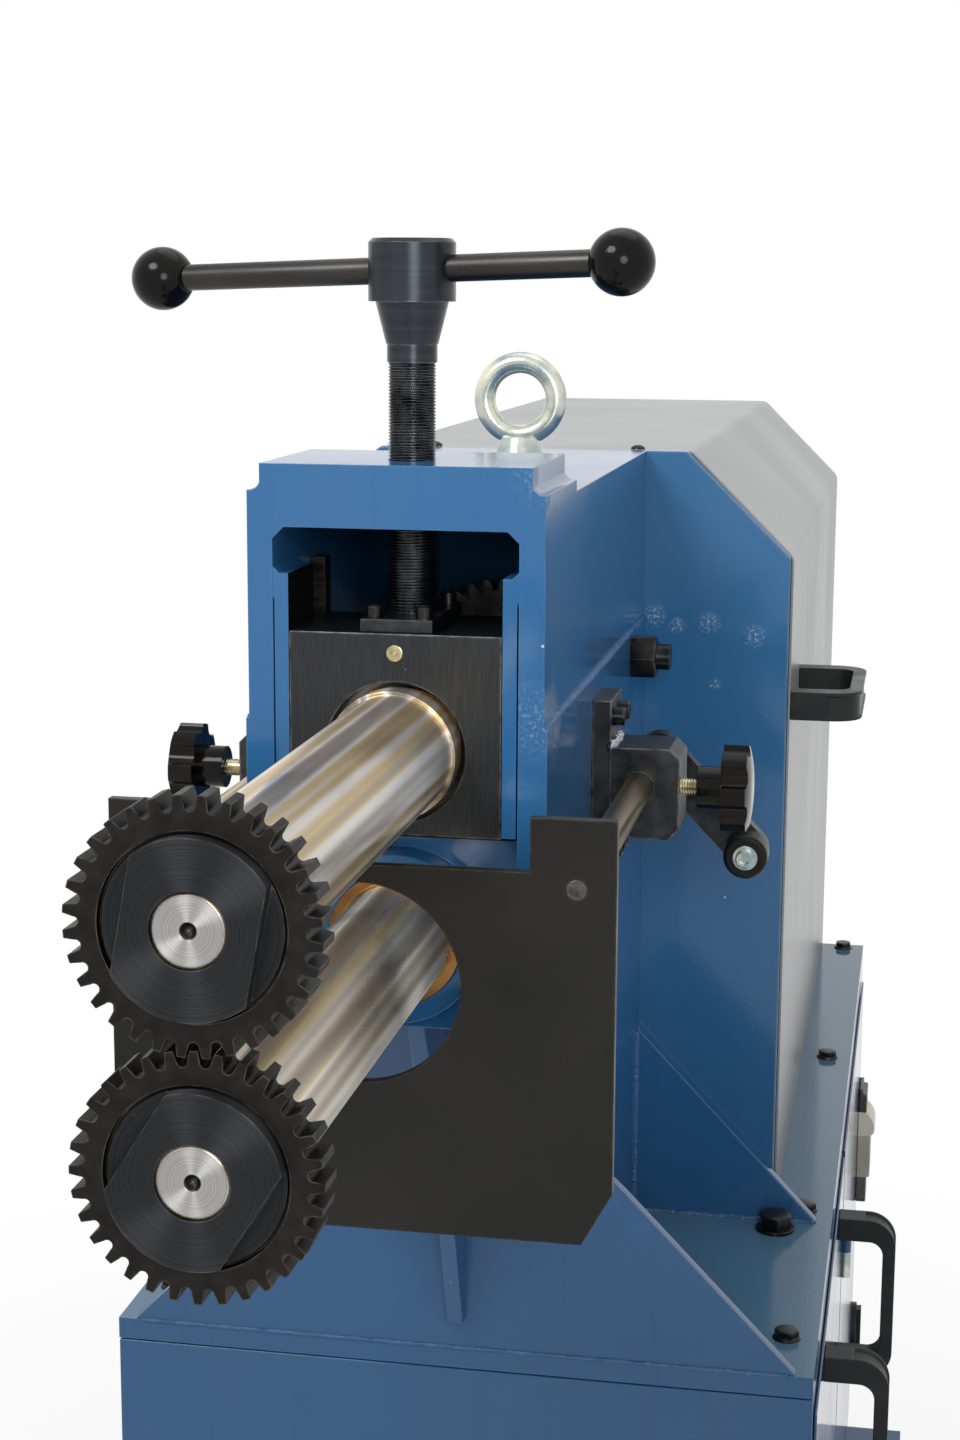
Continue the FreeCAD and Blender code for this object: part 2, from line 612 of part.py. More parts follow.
def lower_side_plates():
    """Lower side plates: proud of the upper ones, cut back below the cheeks to clear the work."""
    outline = [
        ("head_front", "seam"),
        ("head_front", "base_top + cheek_end"),
        ("front_y", "base_top + front_plate_high"),
        ("front_y + front_plate_thick", "base_top + front_plate_high"),
        ("front_y + front_plate_thick", "base_top"),
        ("column_back", "base_top"),
        ("column_back", "seam"),
    ]
    trunnion = [("trunnion_y", "upper_axis", "trunnion_size / 2")]
    right = side_view("lower_side", outline, "side_in", "side_thick + low_side_proud", trunnion)
    return group("lower_side_plates", [right, mirrored("lower_side_left", right)])


def nut_block():
    """Nut for the lifting screw, welded across the side plates; its flanks flare out below the top."""
    block = body("nut_block")
    neck = "side_out - nut_top_inset"
    flare_mid = f"nut_top_inset * {INSIDE}"
    right = [
        ("side_in", "window_top - window_corner"),
        ("side_in", "head_top"),
        ("side_out", "head_top"),
        ("side_out", "nut_top - nut_neck - nut_flare"),
        (neck, "nut_top - nut_neck", f"{neck} + {flare_mid}",
         f"nut_top - nut_neck - nut_flare * (1 - {INSIDE})"),
        (neck, "nut_top"),
    ]
    left = [(f"-({point[0]})", point[1]) for point in reversed(right)]
    left[2] = (left[2][0], left[2][1], f"-({neck} + {flare_mid})", right[4][3])
    corners = [("-(side_in - window_corner)", "window_top"), ("side_in - window_corner", "window_top")]
    outline = corners + right + left
    pad(block, sketch(block, "XZ_Plane", [outline]), "nut_block_long", reverse=True)
    hole = [("0", "screw_from_front", "screw_size / 2 + screw_gap")]
    pocket(block, sketch(block, "XY_Plane", [], hole), "nut_top + overrun", reverse=True)
    return place(block, y="head_front")


def top_plate():
    """Roof between the side plates behind the nut block, tapped for the lifting eye."""
    plate = body("top_plate")
    outline = rectangle("-side_in", "head_front + nut_block_long", "side_in", "column_back")
    hole = [("0", "eye_y", "eye_thread / 2")]
    pad(plate, sketch(plate, "XY_Plane", [outline], hole), "roof_thick")
    return place(plate, z="head_top - roof_thick")


def guide_rails():
    """Hardened ways for the slide block: a front rail and a rear keeper inside each side plate."""
    rail = body("front_rail")
    outline = [
        ("side_in", "base_top + rail_foot"),
        ("side_in", "base_top + rail_top + rail_corner"),
        ("side_in - rail_corner", "base_top + rail_top"),
        ("rail_in", "base_top + rail_top"),
        ("rail_in", "base_top + rail_foot"),
    ]
    pad(rail, sketch(rail, "XZ_Plane", [outline]), "rail_long", reverse=True)
    place(rail, y="head_front")
    keeper = box("rear_keeper", "rail_in", "head_front + block_deep + block_clear", "base_top + rail_foot",
                 "rail_thick", "keeper_long", "rail_top - rail_foot")
    return group("guide_rails", [rail, keeper, mirrored("front_rail_left", rail),
                                 mirrored("rear_keeper_left", keeper)])


def lower_housing():
    """Cross block that holds the lower shaft's front bush, with a round boss in front."""
    housing = body("lower_housing")
    outline = rectangle("-side_in", "base_top + housing_foot", "side_in", "base_top + housing_top")
    pad(housing, sketch(housing, "XZ_Plane", [outline]), "housing_long", reverse=True)
    boss = [("0", "lower_axis", "boss_radius")]
    pad(housing, sketch(housing, "XZ_Plane", [], boss), "boss_reach")
    bore = [("0", "lower_axis", "lower_shaft / 2 + lower_bush_wall")]
    pocket(housing, sketch(housing, "XZ_Plane", [], bore), "(housing_long + boss_reach) * 3", both=True)
    return place(housing, y="head_front + housing_front")


def bronze_bush():
    """Front bush of the lower shaft; its thin lip shows at the face of the boss."""
    radius = "lower_shaft / 2 + lower_bush_wall"
    profile = [("-boss_reach - bush_lip_long", "lower_shaft / 2 + bush_lip + running_gap"),
               ("-boss_reach", "lower_shaft / 2 + bush_lip + running_gap"),
               ("-boss_reach", radius), ("housing_long", radius)]
    bush = turned("bronze_bush", "YZ_Plane", "H_Axis", profile, "lower_shaft / 2 + running_gap")
    return place(bush, y="head_front + housing_front", z="lower_axis")


def chin_plate():
    """Sloping plate that closes the head between the side plates, from the housing to the front plate."""
    outline = [
        ("head_front + housing_front + housing_long", "base_top + housing_foot"),
        ("head_front + housing_front + housing_long", "base_top + housing_foot + chin_drop"),
        ("front_y + front_plate_thick", "base_top + front_plate_high + chin_drop"),
        ("front_y + front_plate_thick", "base_top + front_plate_high"),
        ("front_y", "base_top + front_plate_high"),
    ]
    return side_view("chin_plate", outline, "-side_in", "side_in * 2")


def front_plate():
    """Front foot plate across the base: level on top, with sides that run down and out at 45 degrees."""
    foot = "half_wide - front_foot_inset"
    outline = [
        (f"-({foot})", "base_top"), (foot, "base_top"),
        ("front_slope_from", "base_top + front_slope_high"),
        ("low_side_out", "base_top + front_plate_high"),
        ("-low_side_out", "base_top + front_plate_high"),
        ("-front_slope_from", "base_top + front_slope_high"),
    ]
    return front_view("front_plate", outline, "front_y", "front_plate_thick")


def front_rib():
    """Rib on the centre line under the housing, down to the front plate."""
    outline = [
        ("head_front + rib_front", "base_top + housing_foot"),
        ("front_y - rib_knee_reach", "base_top + rib_knee_high"),
        ("front_y - rib_toe_reach", "base_top + rib_foot"),
        ("front_y", "base_top + rib_foot"),
        ("front_y", "base_top + front_plate_high"),
        ("head_front + housing_front + housing_long", "base_top + housing_foot"),
    ]
    return side_view("front_rib", outline, "-rib_thick / 2", "rib_thick")


def rear_plate():
    """Plate across the back of the column, its top corners cut at 45 degrees."""
    reach = "rear_plate_wide / 2"
    outline = [
        (f"-{reach}", "base_top"), (reach, "base_top"),
        (reach, "head_top - rear_corner"), (f"{reach} - rear_corner", "head_top"),
        (f"-{reach} + rear_corner", "head_top"), (f"-{reach}", "head_top - rear_corner"),
    ]
    hole = [("0", "lower_axis", "rear_journal / 2 + shaft_hole_slack")]
    return front_view("rear_plate", outline, "column_back", "rear_plate_thick", hole)


def rear_gussets():
    """Triangular gussets in front of the rear plate, one each side of the column."""
    outline = [("low_side_out", "base_top"), ("gusset_reach", "base_top"),
               ("low_side_out", "base_top + gusset_high")]
    right = front_view("rear_gusset", outline, "column_back - gusset_thick", "gusset_thick")
    return group("rear_gussets", [right, mirrored("rear_gusset_left", right)])


def cover_outline(inset, foot):
    """Section of the cover, drawn in by an inset; the corner planes keep their slope."""
    half = f"(cover_wide / 2 - {inset})"
    corner = f"(rear_corner - {inset} * 2 * {INSIDE})"
    return [
        (f"-{half}", foot), (half, foot),
        (half, f"head_top - {inset} - {corner}"), (f"{half} - {corner}", f"head_top - {inset}"),
        (f"-{half} + {corner}", f"head_top - {inset}"), (f"-{half}", f"head_top - {inset} - {corner}"),
    ]


def rear_cover():
    """Sheet cover over the drive: bent over the corners, closed at the back, open to the rear plate."""
    cover = body("rear_cover")
    length = "half_long - (rear_face)"
    pad(cover, sketch(cover, "XZ_Plane", [cover_outline("0", "base_top")]), length, reverse=True)
    bends = edges_along(cover.Shape, Y_AXIS, lambda spot: spot.z > value("base_top") + NEAR)
    dress(cover, "Fillet", bends, "cover_bend")
    hollow = sketch(cover, "XZ_Plane", [cover_outline("cover_sheet", "base_top - overrun")])
    pocket(cover, hollow, f"{length} - cover_sheet")
    return place(cover, y="rear_face")


def cover_handle():
    """The same moulded handle laid level on the cover's right side, from the cover's front edge back."""
    bow = body("cover_handle")
    pad(bow, sketch(bow, "XY_Plane", [bow_outline("cover_handle_reach")]), "cover_handle_high")
    return place(bow, x="cover_wide / 2", y="rear_face", z="base_top + cover_handle_foot")


def cover_screws():
    """Button-head screws through the cover into the edge of the rear plate."""
    pieces = []
    for number, x in enumerate(("-cover_screw_x", "cover_screw_x")):
        pieces.append(rod(f"cover_screw_{number}", x, "rear_face + cover_screw_inset", "head_top",
                          "cover_screw_head", "cover_screw_rise"))
    return group("cover_screws", pieces)


def eyebolt():
    """Lifting eye: a ring on a collar, screwed into the roof plate."""
    tube = "(eye_outer - eye_inner) / 4"
    ring = bind(doc.addObject("Part::Torus", "eye_ring"), Radius1=f"eye_inner / 2 + {tube}", Radius2=tube)
    place(ring, "0", "eye_y", f"head_top + eye_collar_high / 2 + eye_outer / 2", (X_AXIS, 90))
    collar = doc.addObject("Part::Cone", "eye_foot")
    bind(collar, Radius1="eye_collar / 2", Radius2="eye_collar / 2 - eye_collar_taper",
         Height="eye_collar_high")
    place(collar, "0", "eye_y", "head_top")
    shank = rod("eye_shank", "0", "eye_y", "head_top - eye_depth", "eye_thread / 2", "eye_depth")
    solid = joined("eye_solid", [ring, collar, shank])
    hole = rod("eye_hole", "0", "eye_y - eye_collar", "head_top + eye_collar_high / 2 + eye_outer / 2",
               "eye_inner / 2", "eye_collar * 2", TO_Y)
    return cut("eyebolt", solid, hole)


# Slide block and lifting screw

def slide_block():
    """Block that carries the upper shaft; wings behind the front rails keep it in its ways.

    Its bore is wider behind the mouth, where the bearing's seat goes in from the back.
    """
    block = body("slide_block_blank")
    outline = [
        ("-block_half", "0"), ("block_half", "0"), ("block_half", "rail_long + block_clear"),
        ("side_in - block_wing", "rail_long + block_clear"), ("side_in - block_wing", "block_deep"),
        ("-(side_in - block_wing)", "block_deep"), ("-(side_in - block_wing)", "rail_long + block_clear"),
        ("-block_half", "rail_long + block_clear"),
    ]
    pad(block, sketch(block, "XY_Plane", [outline]), "block_high")
    mouth = [("0", "block_below", "mouth_bore / 2")]
    pocket(block, sketch(block, "XZ_Plane", [], mouth), "block_deep + overrun")
    place(block, y="head_front", z="block_foot")
    seat = rod("seat_hole", "0", "head_front + seat_start", "upper_axis", "seat_bore / 2", "block_deep",
               TO_Y)
    recess = rod("thrust_recess", "0", "screw_y", "block_top - thrust_high - screw_gap * 2",
                 "thrust_radius + screw_gap", "thrust_high + screw_gap * 2")
    return cut("slide_block", block, joined("block_holes", [seat, recess]))


def bearing_seat():
    """Ring with a hollow spherical bore, pressed into the block."""
    half = "seat_long / 2"
    hollow = "(ball_radius + ball_slack)"
    mouth = f"sqrt({hollow} * {hollow} - {half} * {half})"
    owner = body("bearing_seat")
    outline = [(f"-{half}", mouth), (f"-{half}", "seat_bore / 2"), (half, "seat_bore / 2"),
               (half, mouth), (f"-{half}", mouth, "0", hollow)]
    revolve_outline(owner, outline[1:])
    return place(owner, y="ball_centre", z="upper_axis")


def revolve_outline(owner, outline):
    """Turn a closed outline in Y and radius about the Y axis."""
    drawing = sketch(owner, "YZ_Plane", [outline])
    feature = owner.newObject("PartDesign::Revolution", owner.Name + "_turn")
    feature.Profile = drawing
    feature.ReferenceAxis = (drawing, ["H_Axis"])
    feature.Angle = 360
    doc.recompute()


def bearing_ball():
    """Spherical bush on the shaft's front journal; it tips in its seat as the shaft rises."""
    half = "ball_long / 2"
    edge = f"sqrt(ball_radius * ball_radius - {half} * {half})"
    bore = "front_journal / 2 + running_gap"
    owner = body("bearing_ball")
    outline = [(f"-{half}", edge), (half, edge, "0", "ball_radius"), (half, bore), (f"-{half}", bore)]
    revolve_outline(owner, outline)
    return place(owner, y="ball_centre", z="upper_axis")


def retaining_plates():
    """Two half plates that hold the screw's thrust collar down in the block."""
    halves = []
    for name, side in (("front", -1), ("back", 1)):
        plate = body(f"keep_{name}")
        radius = "screw_size / 2 + screw_gap"
        reach = f"{side} * keep_long / 2"
        outline = [
            ("keep_wide / 2", "0"), ("keep_wide / 2", reach), ("-keep_wide / 2", reach),
            ("-keep_wide / 2", "0"), (f"-({radius})", "0"),
            (radius, "0", "0", f"{side} * ({radius})"),
        ]
        pad(plate, sketch(plate, "XY_Plane", [outline]), "keep_thick")
        halves.append(place(plate, y="screw_y", z="block_top"))
    return group("retaining_plates", halves)


def retaining_screws():
    """Cap screws at the corners of the retaining plates."""
    pieces = []
    for x in (-1, 1):
        for y in (-1, 1):
            name = f"keep_screw_{x + 1}{y + 1}"
            pieces.append(rod(name, f"{x} * keep_screw_x", f"screw_y + {y} * keep_screw_y", "keep_top",
                              "keep_head", "keep_head_high"))
    return group("retaining_screws", pieces)


def grease_nipple():
    """Flush brass grease fitting in the face of the slide block."""
    profile = [("-nipple_rise", "nipple_face"), ("-nipple_rise / 2", "nipple_radius"),
               ("0", "nipple_radius")]
    nipple = turned("grease_nipple", "YZ_Plane", "H_Axis", profile)
    return place(nipple, y="head_front", z="block_top - nipple_drop")


def adjusting_screw():
    """Lifting screw: thrust collar at the foot, thread through the nut block, plain top in the hub."""
    foot = "block_top - thrust_high - screw_gap"
    profile = [("0", "thrust_radius"), ("thrust_high", "thrust_radius"),
               ("thrust_high", "screw_size / 2"), (f"base_top + screw_end - ({foot})", "screw_size / 2")]
    screw = turned("adjusting_screw", "XZ_Plane", "V_Axis", profile)
    return place(screw, y="screw_y", z=foot)


def handle_hub():
    """Hub on top of the screw: a neck, a cone and a round head with the cross hole for the bar."""
    cone_foot = "hub_neck_high"
    head_foot = f"{cone_foot} + hub_cone_high"
    top = f"{head_foot} + hub_high"
    profile = [
        ("0", "hub_neck / 2"), (cone_foot, "hub_neck / 2"), (cone_foot, "hub_neck / 2 + hub_step"),
        (head_foot, "hub_cone / 2"), (head_foot, "hub_size / 2"),
        (f"{top} - hub_chamfer", "hub_size / 2"), (top, "hub_size / 2 - hub_chamfer"),
    ]
    solid = turned("hub_blank", "XZ_Plane", "V_Axis", profile)
    place(solid, y="screw_y", z="base_top + hub_foot")
    socket = rod("hub_socket", "0", "screw_y", "base_top + hub_foot - overrun", "screw_size / 2",
                 "hub_grip + overrun")
    drilled = cut("hub_drilled", solid, socket)
    cross = along_bar(rod("hub_cross_hole", "0", "0", "0", "bar_size / 2 + bar_gap", "hub_size * 2"),
                      "-hub_size")
    return cut("handle_hub", drilled, cross)


def bar_direction():
    """Unit direction of the T-bar: swung towards the front on the right, its right end a little high."""
    swing = math.radians(value("bar_swing"))
    tilt = math.radians(value("bar_tilt"))
    flat = math.cos(tilt)
    return FreeCAD.Vector(flat * math.cos(swing), -flat * math.sin(swing), math.sin(tilt))


def along_bar(piece, start):
    """Lay a piece made along Z on the T-bar's line, starting at a distance from the screw's axis."""
    direction = bar_direction()
    piece.Placement = FreeCAD.Placement(FreeCAD.Vector(), FreeCAD.Rotation(Z_AXIS, direction))
    swing, tilt = formula("bar_swing"), formula("bar_tilt")
    reach = formula(start)
    piece.setExpression("Placement.Base.x", f"({reach}) * cos({tilt}) * cos({swing})")
    piece.setExpression("Placement.Base.y",
                        f"{formula('screw_y')} - ({reach}) * cos({tilt}) * sin({swing})")
    piece.setExpression("Placement.Base.z", f"{formula('bar_z')} + ({reach}) * sin({tilt})")
    return piece


def handle_bar():
    """Round bar that slides through the hub."""
    bar = rod("handle_bar", "0", "0", "0", "bar_size / 2", "bar_left + bar_right - knob_flat")
    return along_bar(bar, "-bar_left + knob_flat / 2")


def ball_knobs():
    """Black ball knobs on both ends of the bar, each with a flat where the bar enters."""
    pieces = []
    for name, reach, side in (("left", "-bar_left", 1), ("right", "bar_right", -1)):
        ball = bind(doc.addObject("Part::Sphere", f"knob_ball_{name}"), Radius="knob_size / 2")
        along_bar(ball, reach)
        trim = rod(f"knob_trim_{name}", "0", "0", "0", "knob_size", "knob_size")
        start = f"{reach} + knob_flat" if side == 1 else f"{reach} - knob_flat - knob_size"
        along_bar(trim, start)
        faced = cut(f"knob_faced_{name}", ball, trim)
        hole = rod(f"knob_hole_{name}", "0", "0", "0", "bar_size / 2", "knob_size")
        start = f"{reach} + knob_flat / 2" if side == 1 else f"{reach} - knob_flat / 2 - knob_size"
        along_bar(hole, start)
        pieces.append(cut(f"knob_{name}", faced, hole))
    return group("ball_knobs", pieces)


# Shafts, rolls and gears

def shaft_nose(radius):
    """Profile of a shaft's front end: centre hole, thread, roll seat and the step to its body."""
    return [
        ("-nose_reach + centre_deep", "0"), ("-nose_reach", "centre_drill / 2"),
        ("-nose_reach", "nose_thread / 2 - nose_chamfer"),
        ("-nose_reach + nose_chamfer", "nose_thread / 2"),
        ("-roll_front + recess_deep", "nose_thread / 2"), ("-roll_front + recess_deep", "nose_seat / 2"),
        ("-roll_front + roll_wide", "nose_seat / 2"), ("-roll_front + roll_wide", radius),
    ]


def upper_shaft():
    """Upper shaft: nose for the roll, long polished overhang, collar, journals and gear seat."""
    profile = shaft_nose("upper_shaft / 2") + [
        ("-collar_reach", "upper_shaft / 2"), ("-collar_reach", "collar / 2"),
        ("collar_back", "collar / 2"), ("collar_back", "front_journal / 2"),
        ("gear_start", "front_journal / 2"), ("gear_start", "gear_seat / 2"),
        ("gear_back", "gear_seat / 2"), ("gear_back", "rear_journal / 2"),
        ("trunnion_back + cradle_long / 2 + shaft_tail", "rear_journal / 2"),
    ]
    shaft = turned("upper_shaft", "YZ_Plane", "H_Axis", profile)
    return place(shaft, y="head_front", z="upper_axis")


def lower_shaft():
    """Lower shaft: like the upper one in front, plain through its bush, driven at the back."""
    profile = shaft_nose("lower_shaft / 2") + [
        ("gear_start", "lower_shaft / 2"), ("gear_start", "gear_seat / 2"),
        ("gear_back", "gear_seat / 2"), ("gear_back", "rear_journal / 2"),
        ("column_long + rear_plate_thick + drive_reach", "rear_journal / 2"),
    ]
    shaft = turned("lower_shaft", "YZ_Plane", "H_Axis", profile)
    return place(shaft, y="head_front", z="lower_axis")


def roll(label, axis_height, share):
    """Toothed forming roll: U-shaped gullets round a disc, with a recess for the nut in front.

    The share of a pitch turns it, so that one roll shows a tooth where the other has a gullet.
    """
    disc = body(label)
    circles = [("0", "0", "roll_tip / 2"), ("0", "0", "nose_seat / 2")]
    pad(disc, sketch(disc, "XZ_Plane", [], circles), "roll_wide", reverse=True)
    recess = [("0", "0", "roll_recess / 2")]
    pocket(disc, sketch(disc, "XZ_Plane", [], recess), "recess_deep")
    tip = "roll_tip / 2"
    bottom = f"({tip} - roll_depth)"
    wide = "(gullet_mouth / 2 + tooth_round)"
    bend = f"tooth_round * {INSIDE}"
    outline = [
        (f"{tip} + tooth_round", f"-{wide}"), (f"{tip} + tooth_round", wide), (tip, wide),
        (f"{tip} - tooth_round", "gullet_mouth / 2", f"{tip} - {bend}", f"gullet_mouth / 2 + {bend}"),
        (f"{bottom} + gullet_round", "gullet_round"),
        (f"{bottom} + gullet_round", "-gullet_round", bottom, "0"),
        (f"{tip} - tooth_round", "-gullet_mouth / 2"),
        (tip, f"-{wide}", f"{tip} - {bend}", f"-(gullet_mouth / 2 + {bend})"),
    ]
    gullet = pocket(disc, sketch(disc, "XZ_Plane", [outline]), "roll_wide * 3", both=True)
    around(disc, gullet, "roll_teeth")
    turn_about_y(disc, f"360 / roll_teeth * {share}")
    return place_turned(disc, "head_front - roll_front", axis_height)


def turn_about_y(thing, angle):
    thing.Placement = FreeCAD.Placement(FreeCAD.Vector(), FreeCAD.Rotation(Y_AXIS, 1))
    bind(thing, **{"Placement.Rotation.Angle": angle})


def place_turned(thing, y, z):
    """Place a piece without touching the turn that it already has."""
    thing.setExpression("Placement.Base.y", formula(y))
    thing.setExpression("Placement.Base.z", formula(z))
    return thing


def roll_nut(label, axis_height, angle):
    """Round nut with two flats that holds the roll on the shaft's nose."""
    disc = body(label)
    circles = [("0", "0", "nut_across / 2"), ("0", "0", "nose_thread / 2")]
    pad(disc, sketch(disc, "XZ_Plane", [], circles), "nut_thick", reverse=True)
    flat = [rectangle("nut_flats / 2", "-nut_across", "nut_across", "nut_across"),
            rectangle("-nut_across", "-nut_across", "-nut_flats / 2", "nut_across")]
    pocket(disc, sketch(disc, "XZ_Plane", flat), "nut_thick - nut_rim")
    turn_about_y(disc, angle)
    return place_turned(disc, "head_front - roll_front + recess_deep - nut_thick", axis_height)


def gear(label, axis_height, phase):
    """Spur gear with involute flanks; its module follows from the shafts' spacing."""
    module = value("module")
    teeth = int(value("gear_teeth"))
    pitch_radius = module * teeth / 2
    base_radius = pitch_radius * math.cos(math.radians(value("pressure_angle")))
    tip_radius = pitch_radius + module - value("gear_tip_trim")
    root_radius = pitch_radius - module - value("gear_root_gap")
    slack = value("gear_backlash") / pitch_radius / 2

    def involute(radius):
        angle = math.acos(min(1.0, base_radius / radius))
        return math.tan(angle) - angle

    def half_tooth(radius):
        return math.pi / teeth / 2 - slack + involute(pitch_radius) - involute(radius)

    def spot(radius, angle):
        return FreeCAD.Vector(radius * math.cos(angle), 0, radius * math.sin(angle))

    edges = []
    start_radius = max(base_radius, root_radius)
    middle_radius = (start_radius + tip_radius) / 2
    for tooth in range(teeth):
        centre = math.radians(phase) + 2 * math.pi * tooth / teeth
        following = centre + 2 * math.pi / teeth
        flank = (start_radius, middle_radius, tip_radius)
        up = [spot(radius, centre - half_tooth(radius)) for radius in flank]
        down = [spot(radius, centre + half_tooth(radius)) for radius in reversed(flank)]
        root_start = spot(root_radius, centre - half_tooth(start_radius))
        root_end = spot(root_radius, centre + half_tooth(start_radius))
        next_root = spot(root_radius, following - half_tooth(start_radius))
        gap_middle = spot(root_radius, centre + math.pi / teeth)
        edges += [
            Part.LineSegment(root_start, up[0]).toShape(),
            Part.Arc(*up).toShape(),
            Part.Arc(up[2], spot(tip_radius, centre), down[0]).toShape(),
            Part.Arc(*down).toShape(),
            Part.LineSegment(down[2], root_end).toShape(),
            Part.Arc(root_end, gap_middle, next_root).toShape(),
        ]
    blank = Part.Face(Part.Wire(Part.__sortEdges__(edges)))
    solid = blank.extrude(FreeCAD.Vector(0, value("gear_wide"), 0))
    bore = Part.makeCylinder(value("gear_seat / 2"), value("gear_wide * 3"),
                             FreeCAD.Vector(0, -value("gear_wide"), 0), Y_AXIS)
    wheel = doc.addObject("Part::Feature", label)
    wheel.Shape = solid.cut(bore)
    return place(wheel, y="head_front + gear_start", z=axis_height)


def rear_cradle():
    """Rocking housing of the rear bearing, hung on two trunnion pins."""
    cradle = body("rear_cradle")
    half = "side_in - cradle_side_gap"
    outline = rectangle(f"-({half})", "-cradle_high / 2", half, "cradle_high / 2")
    bore = [("0", "0", "rear_journal / 2 + bush_wall")]
    pad(cradle, sketch(cradle, "XZ_Plane", [outline], bore), "cradle_long", both=True)
    pins = [("0", "0", "trunnion_size / 2 + running_gap")]
    for reverse in (False, True):
        pocket(cradle, sketch(cradle, "YZ_Plane", [], pins), "side_in + overrun", reverse=reverse)
    return place(cradle, y="trunnion_y", z="upper_axis")


def cradle_bush():
    """Bronze bush of the rear bearing."""
    profile = [("-cradle_long / 2", "rear_journal / 2 + bush_wall"),
               ("cradle_long / 2", "rear_journal / 2 + bush_wall")]
    bush = turned("cradle_bush", "YZ_Plane", "H_Axis", profile, "rear_journal / 2 + running_gap")
    return place(bush, y="trunnion_y", z="upper_axis")


def trunnion_pins():
    """Pins through the lower side plates that the cradle rocks on."""
    start = "side_in - cradle_side_gap - trunnion_depth"
    right = rod("trunnion_pin", start, "trunnion_y", "upper_axis", "trunnion_size / 2",
                f"low_side_out + trunnion_reach - ({start})", TO_X)
    return group("trunnion_pins", [right, mirrored("trunnion_pin_left", right)])


def trunnion_nuts():
    """Hexagon nuts that lock the trunnion pins against the side plates."""
    blank = hexagon("trunnion_blank", "low_side_out", "trunnion_y", "upper_axis", "trunnion_flats",
                    "trunnion_nut", TO_X)
    hole = rod("trunnion_nut_hole", "low_side_out - overrun", "trunnion_y", "upper_axis",
               "trunnion_size / 2", "trunnion_nut + overrun * 2", TO_X)
    right = cut("trunnion_nut_right", blank, hole)
    return group("trunnion_nuts", [right, mirrored("trunnion_nut_left", right)])


def rear_bearing_housing():
    """Flanged housing on the rear plate with the lower shaft's rear bush."""
    profile = [
        ("0", "rear_hub_radius"), ("rear_housing_long / 2", "rear_hub_radius"),
        ("rear_housing_long / 2", "rear_housing_radius"), ("rear_housing_long", "rear_housing_radius"),
    ]
    housing = turned("rear_bearing_housing", "YZ_Plane", "H_Axis", profile,
                     "rear_journal / 2 + running_gap")
    return place(housing, y="column_back - rear_housing_long", z="lower_axis")


def gearbox():
    """Coaxial gearbox behind the rear plate, with its flange and hollow output."""
    profile = [
        ("0", "gearbox_flange"), ("gearbox_flange_thick", "gearbox_flange"),
        ("gearbox_flange_thick", "gearbox_neck"), ("gearbox_neck_long", "gearbox_radius"),
        ("gearbox_long - gearbox_flange_thick", "gearbox_radius"), ("gearbox_long", "gearbox_end"),
    ]
    case = turned("gearbox_case", "YZ_Plane", "H_Axis", profile)
    place(case, y="rear_face", z="lower_axis")
    bore = rod("gearbox_bore", "0", "rear_face - overrun", "lower_axis", "rear_journal / 2 + drive_fit",
               "drive_reach + drive_clear + overrun", TO_Y)
    return cut("gearbox", case, bore)


def motor():
    """Finned motor on the gearbox, with its fan cover at the end."""
    case = body("motor_case")
    core = "(motor_radius - motor_fin)"
    pad(case, sketch(case, "XZ_Plane", [], [("0", "0", core)]), "motor_long", reverse=True)
    fin = rectangle(f"{core} - motor_fin_root", "-motor_fin_thick / 2",
                    "motor_radius", "motor_fin_thick / 2")
    ridge = pad(case, sketch(case, "XZ_Plane", [fin]), "motor_long - fan_cover_long", reverse=True)
    around(case, ridge, "motor_fins")
    place(case, y="rear_face + gearbox_long", z="lower_axis")
    shroud = rod("fan_cover", "0", "rear_face + gearbox_long + motor_long - fan_cover_long", "lower_axis",
                 "motor_radius + fan_cover_lip", "fan_cover_long", TO_Y)
    return joined("motor", [case, shroud])


# Depth gauge

def stop_plate():
    """Stop plate across both shafts: ears for the rods, a round hole for the lower shaft."""
    half = "stop_wide / 2"
    foot = "base_top + stop_foot"
    outline = [
        (f"-{half} + stop_corner", foot), (f"{half} - stop_corner", foot),
        (half, f"{foot} + stop_corner_high"), (half, "base_top + ear_top"),
        ("ear_inside", "base_top + ear_top"), ("ear_inside", "base_top + stop_top"),
        ("-ear_inside", "base_top + stop_top"), ("-ear_inside", "base_top + ear_top"),
        (f"-{half}", "base_top + ear_top"), (f"-{half}", f"{foot} + stop_corner_high"),
    ]
    holes = [("0", "lower_axis", "stop_hole / 2"), ("-rod_x", "rod_height", "rod_spigot / 2"),
             ("rod_x", "rod_height", "rod_spigot / 2")]
    return front_view("stop_plate", outline, "stop_front", "stop_thick", holes)


def gauge_rods():
    """Guide rods of the gauge, each with a spigot through the stop plate."""
    profile = [("0", "rod_spigot / 2"), ("stop_thick", "rod_spigot / 2"),
               ("stop_thick", "rod_size / 2"), ("stop_reach + rod_back", "rod_size / 2")]
    right = turned("gauge_rod", "YZ_Plane", "H_Axis", profile)
    place(right, "rod_x", "stop_front", "rod_height")
    return group("gauge_rods", [right, mirrored("gauge_rod_left", right)])


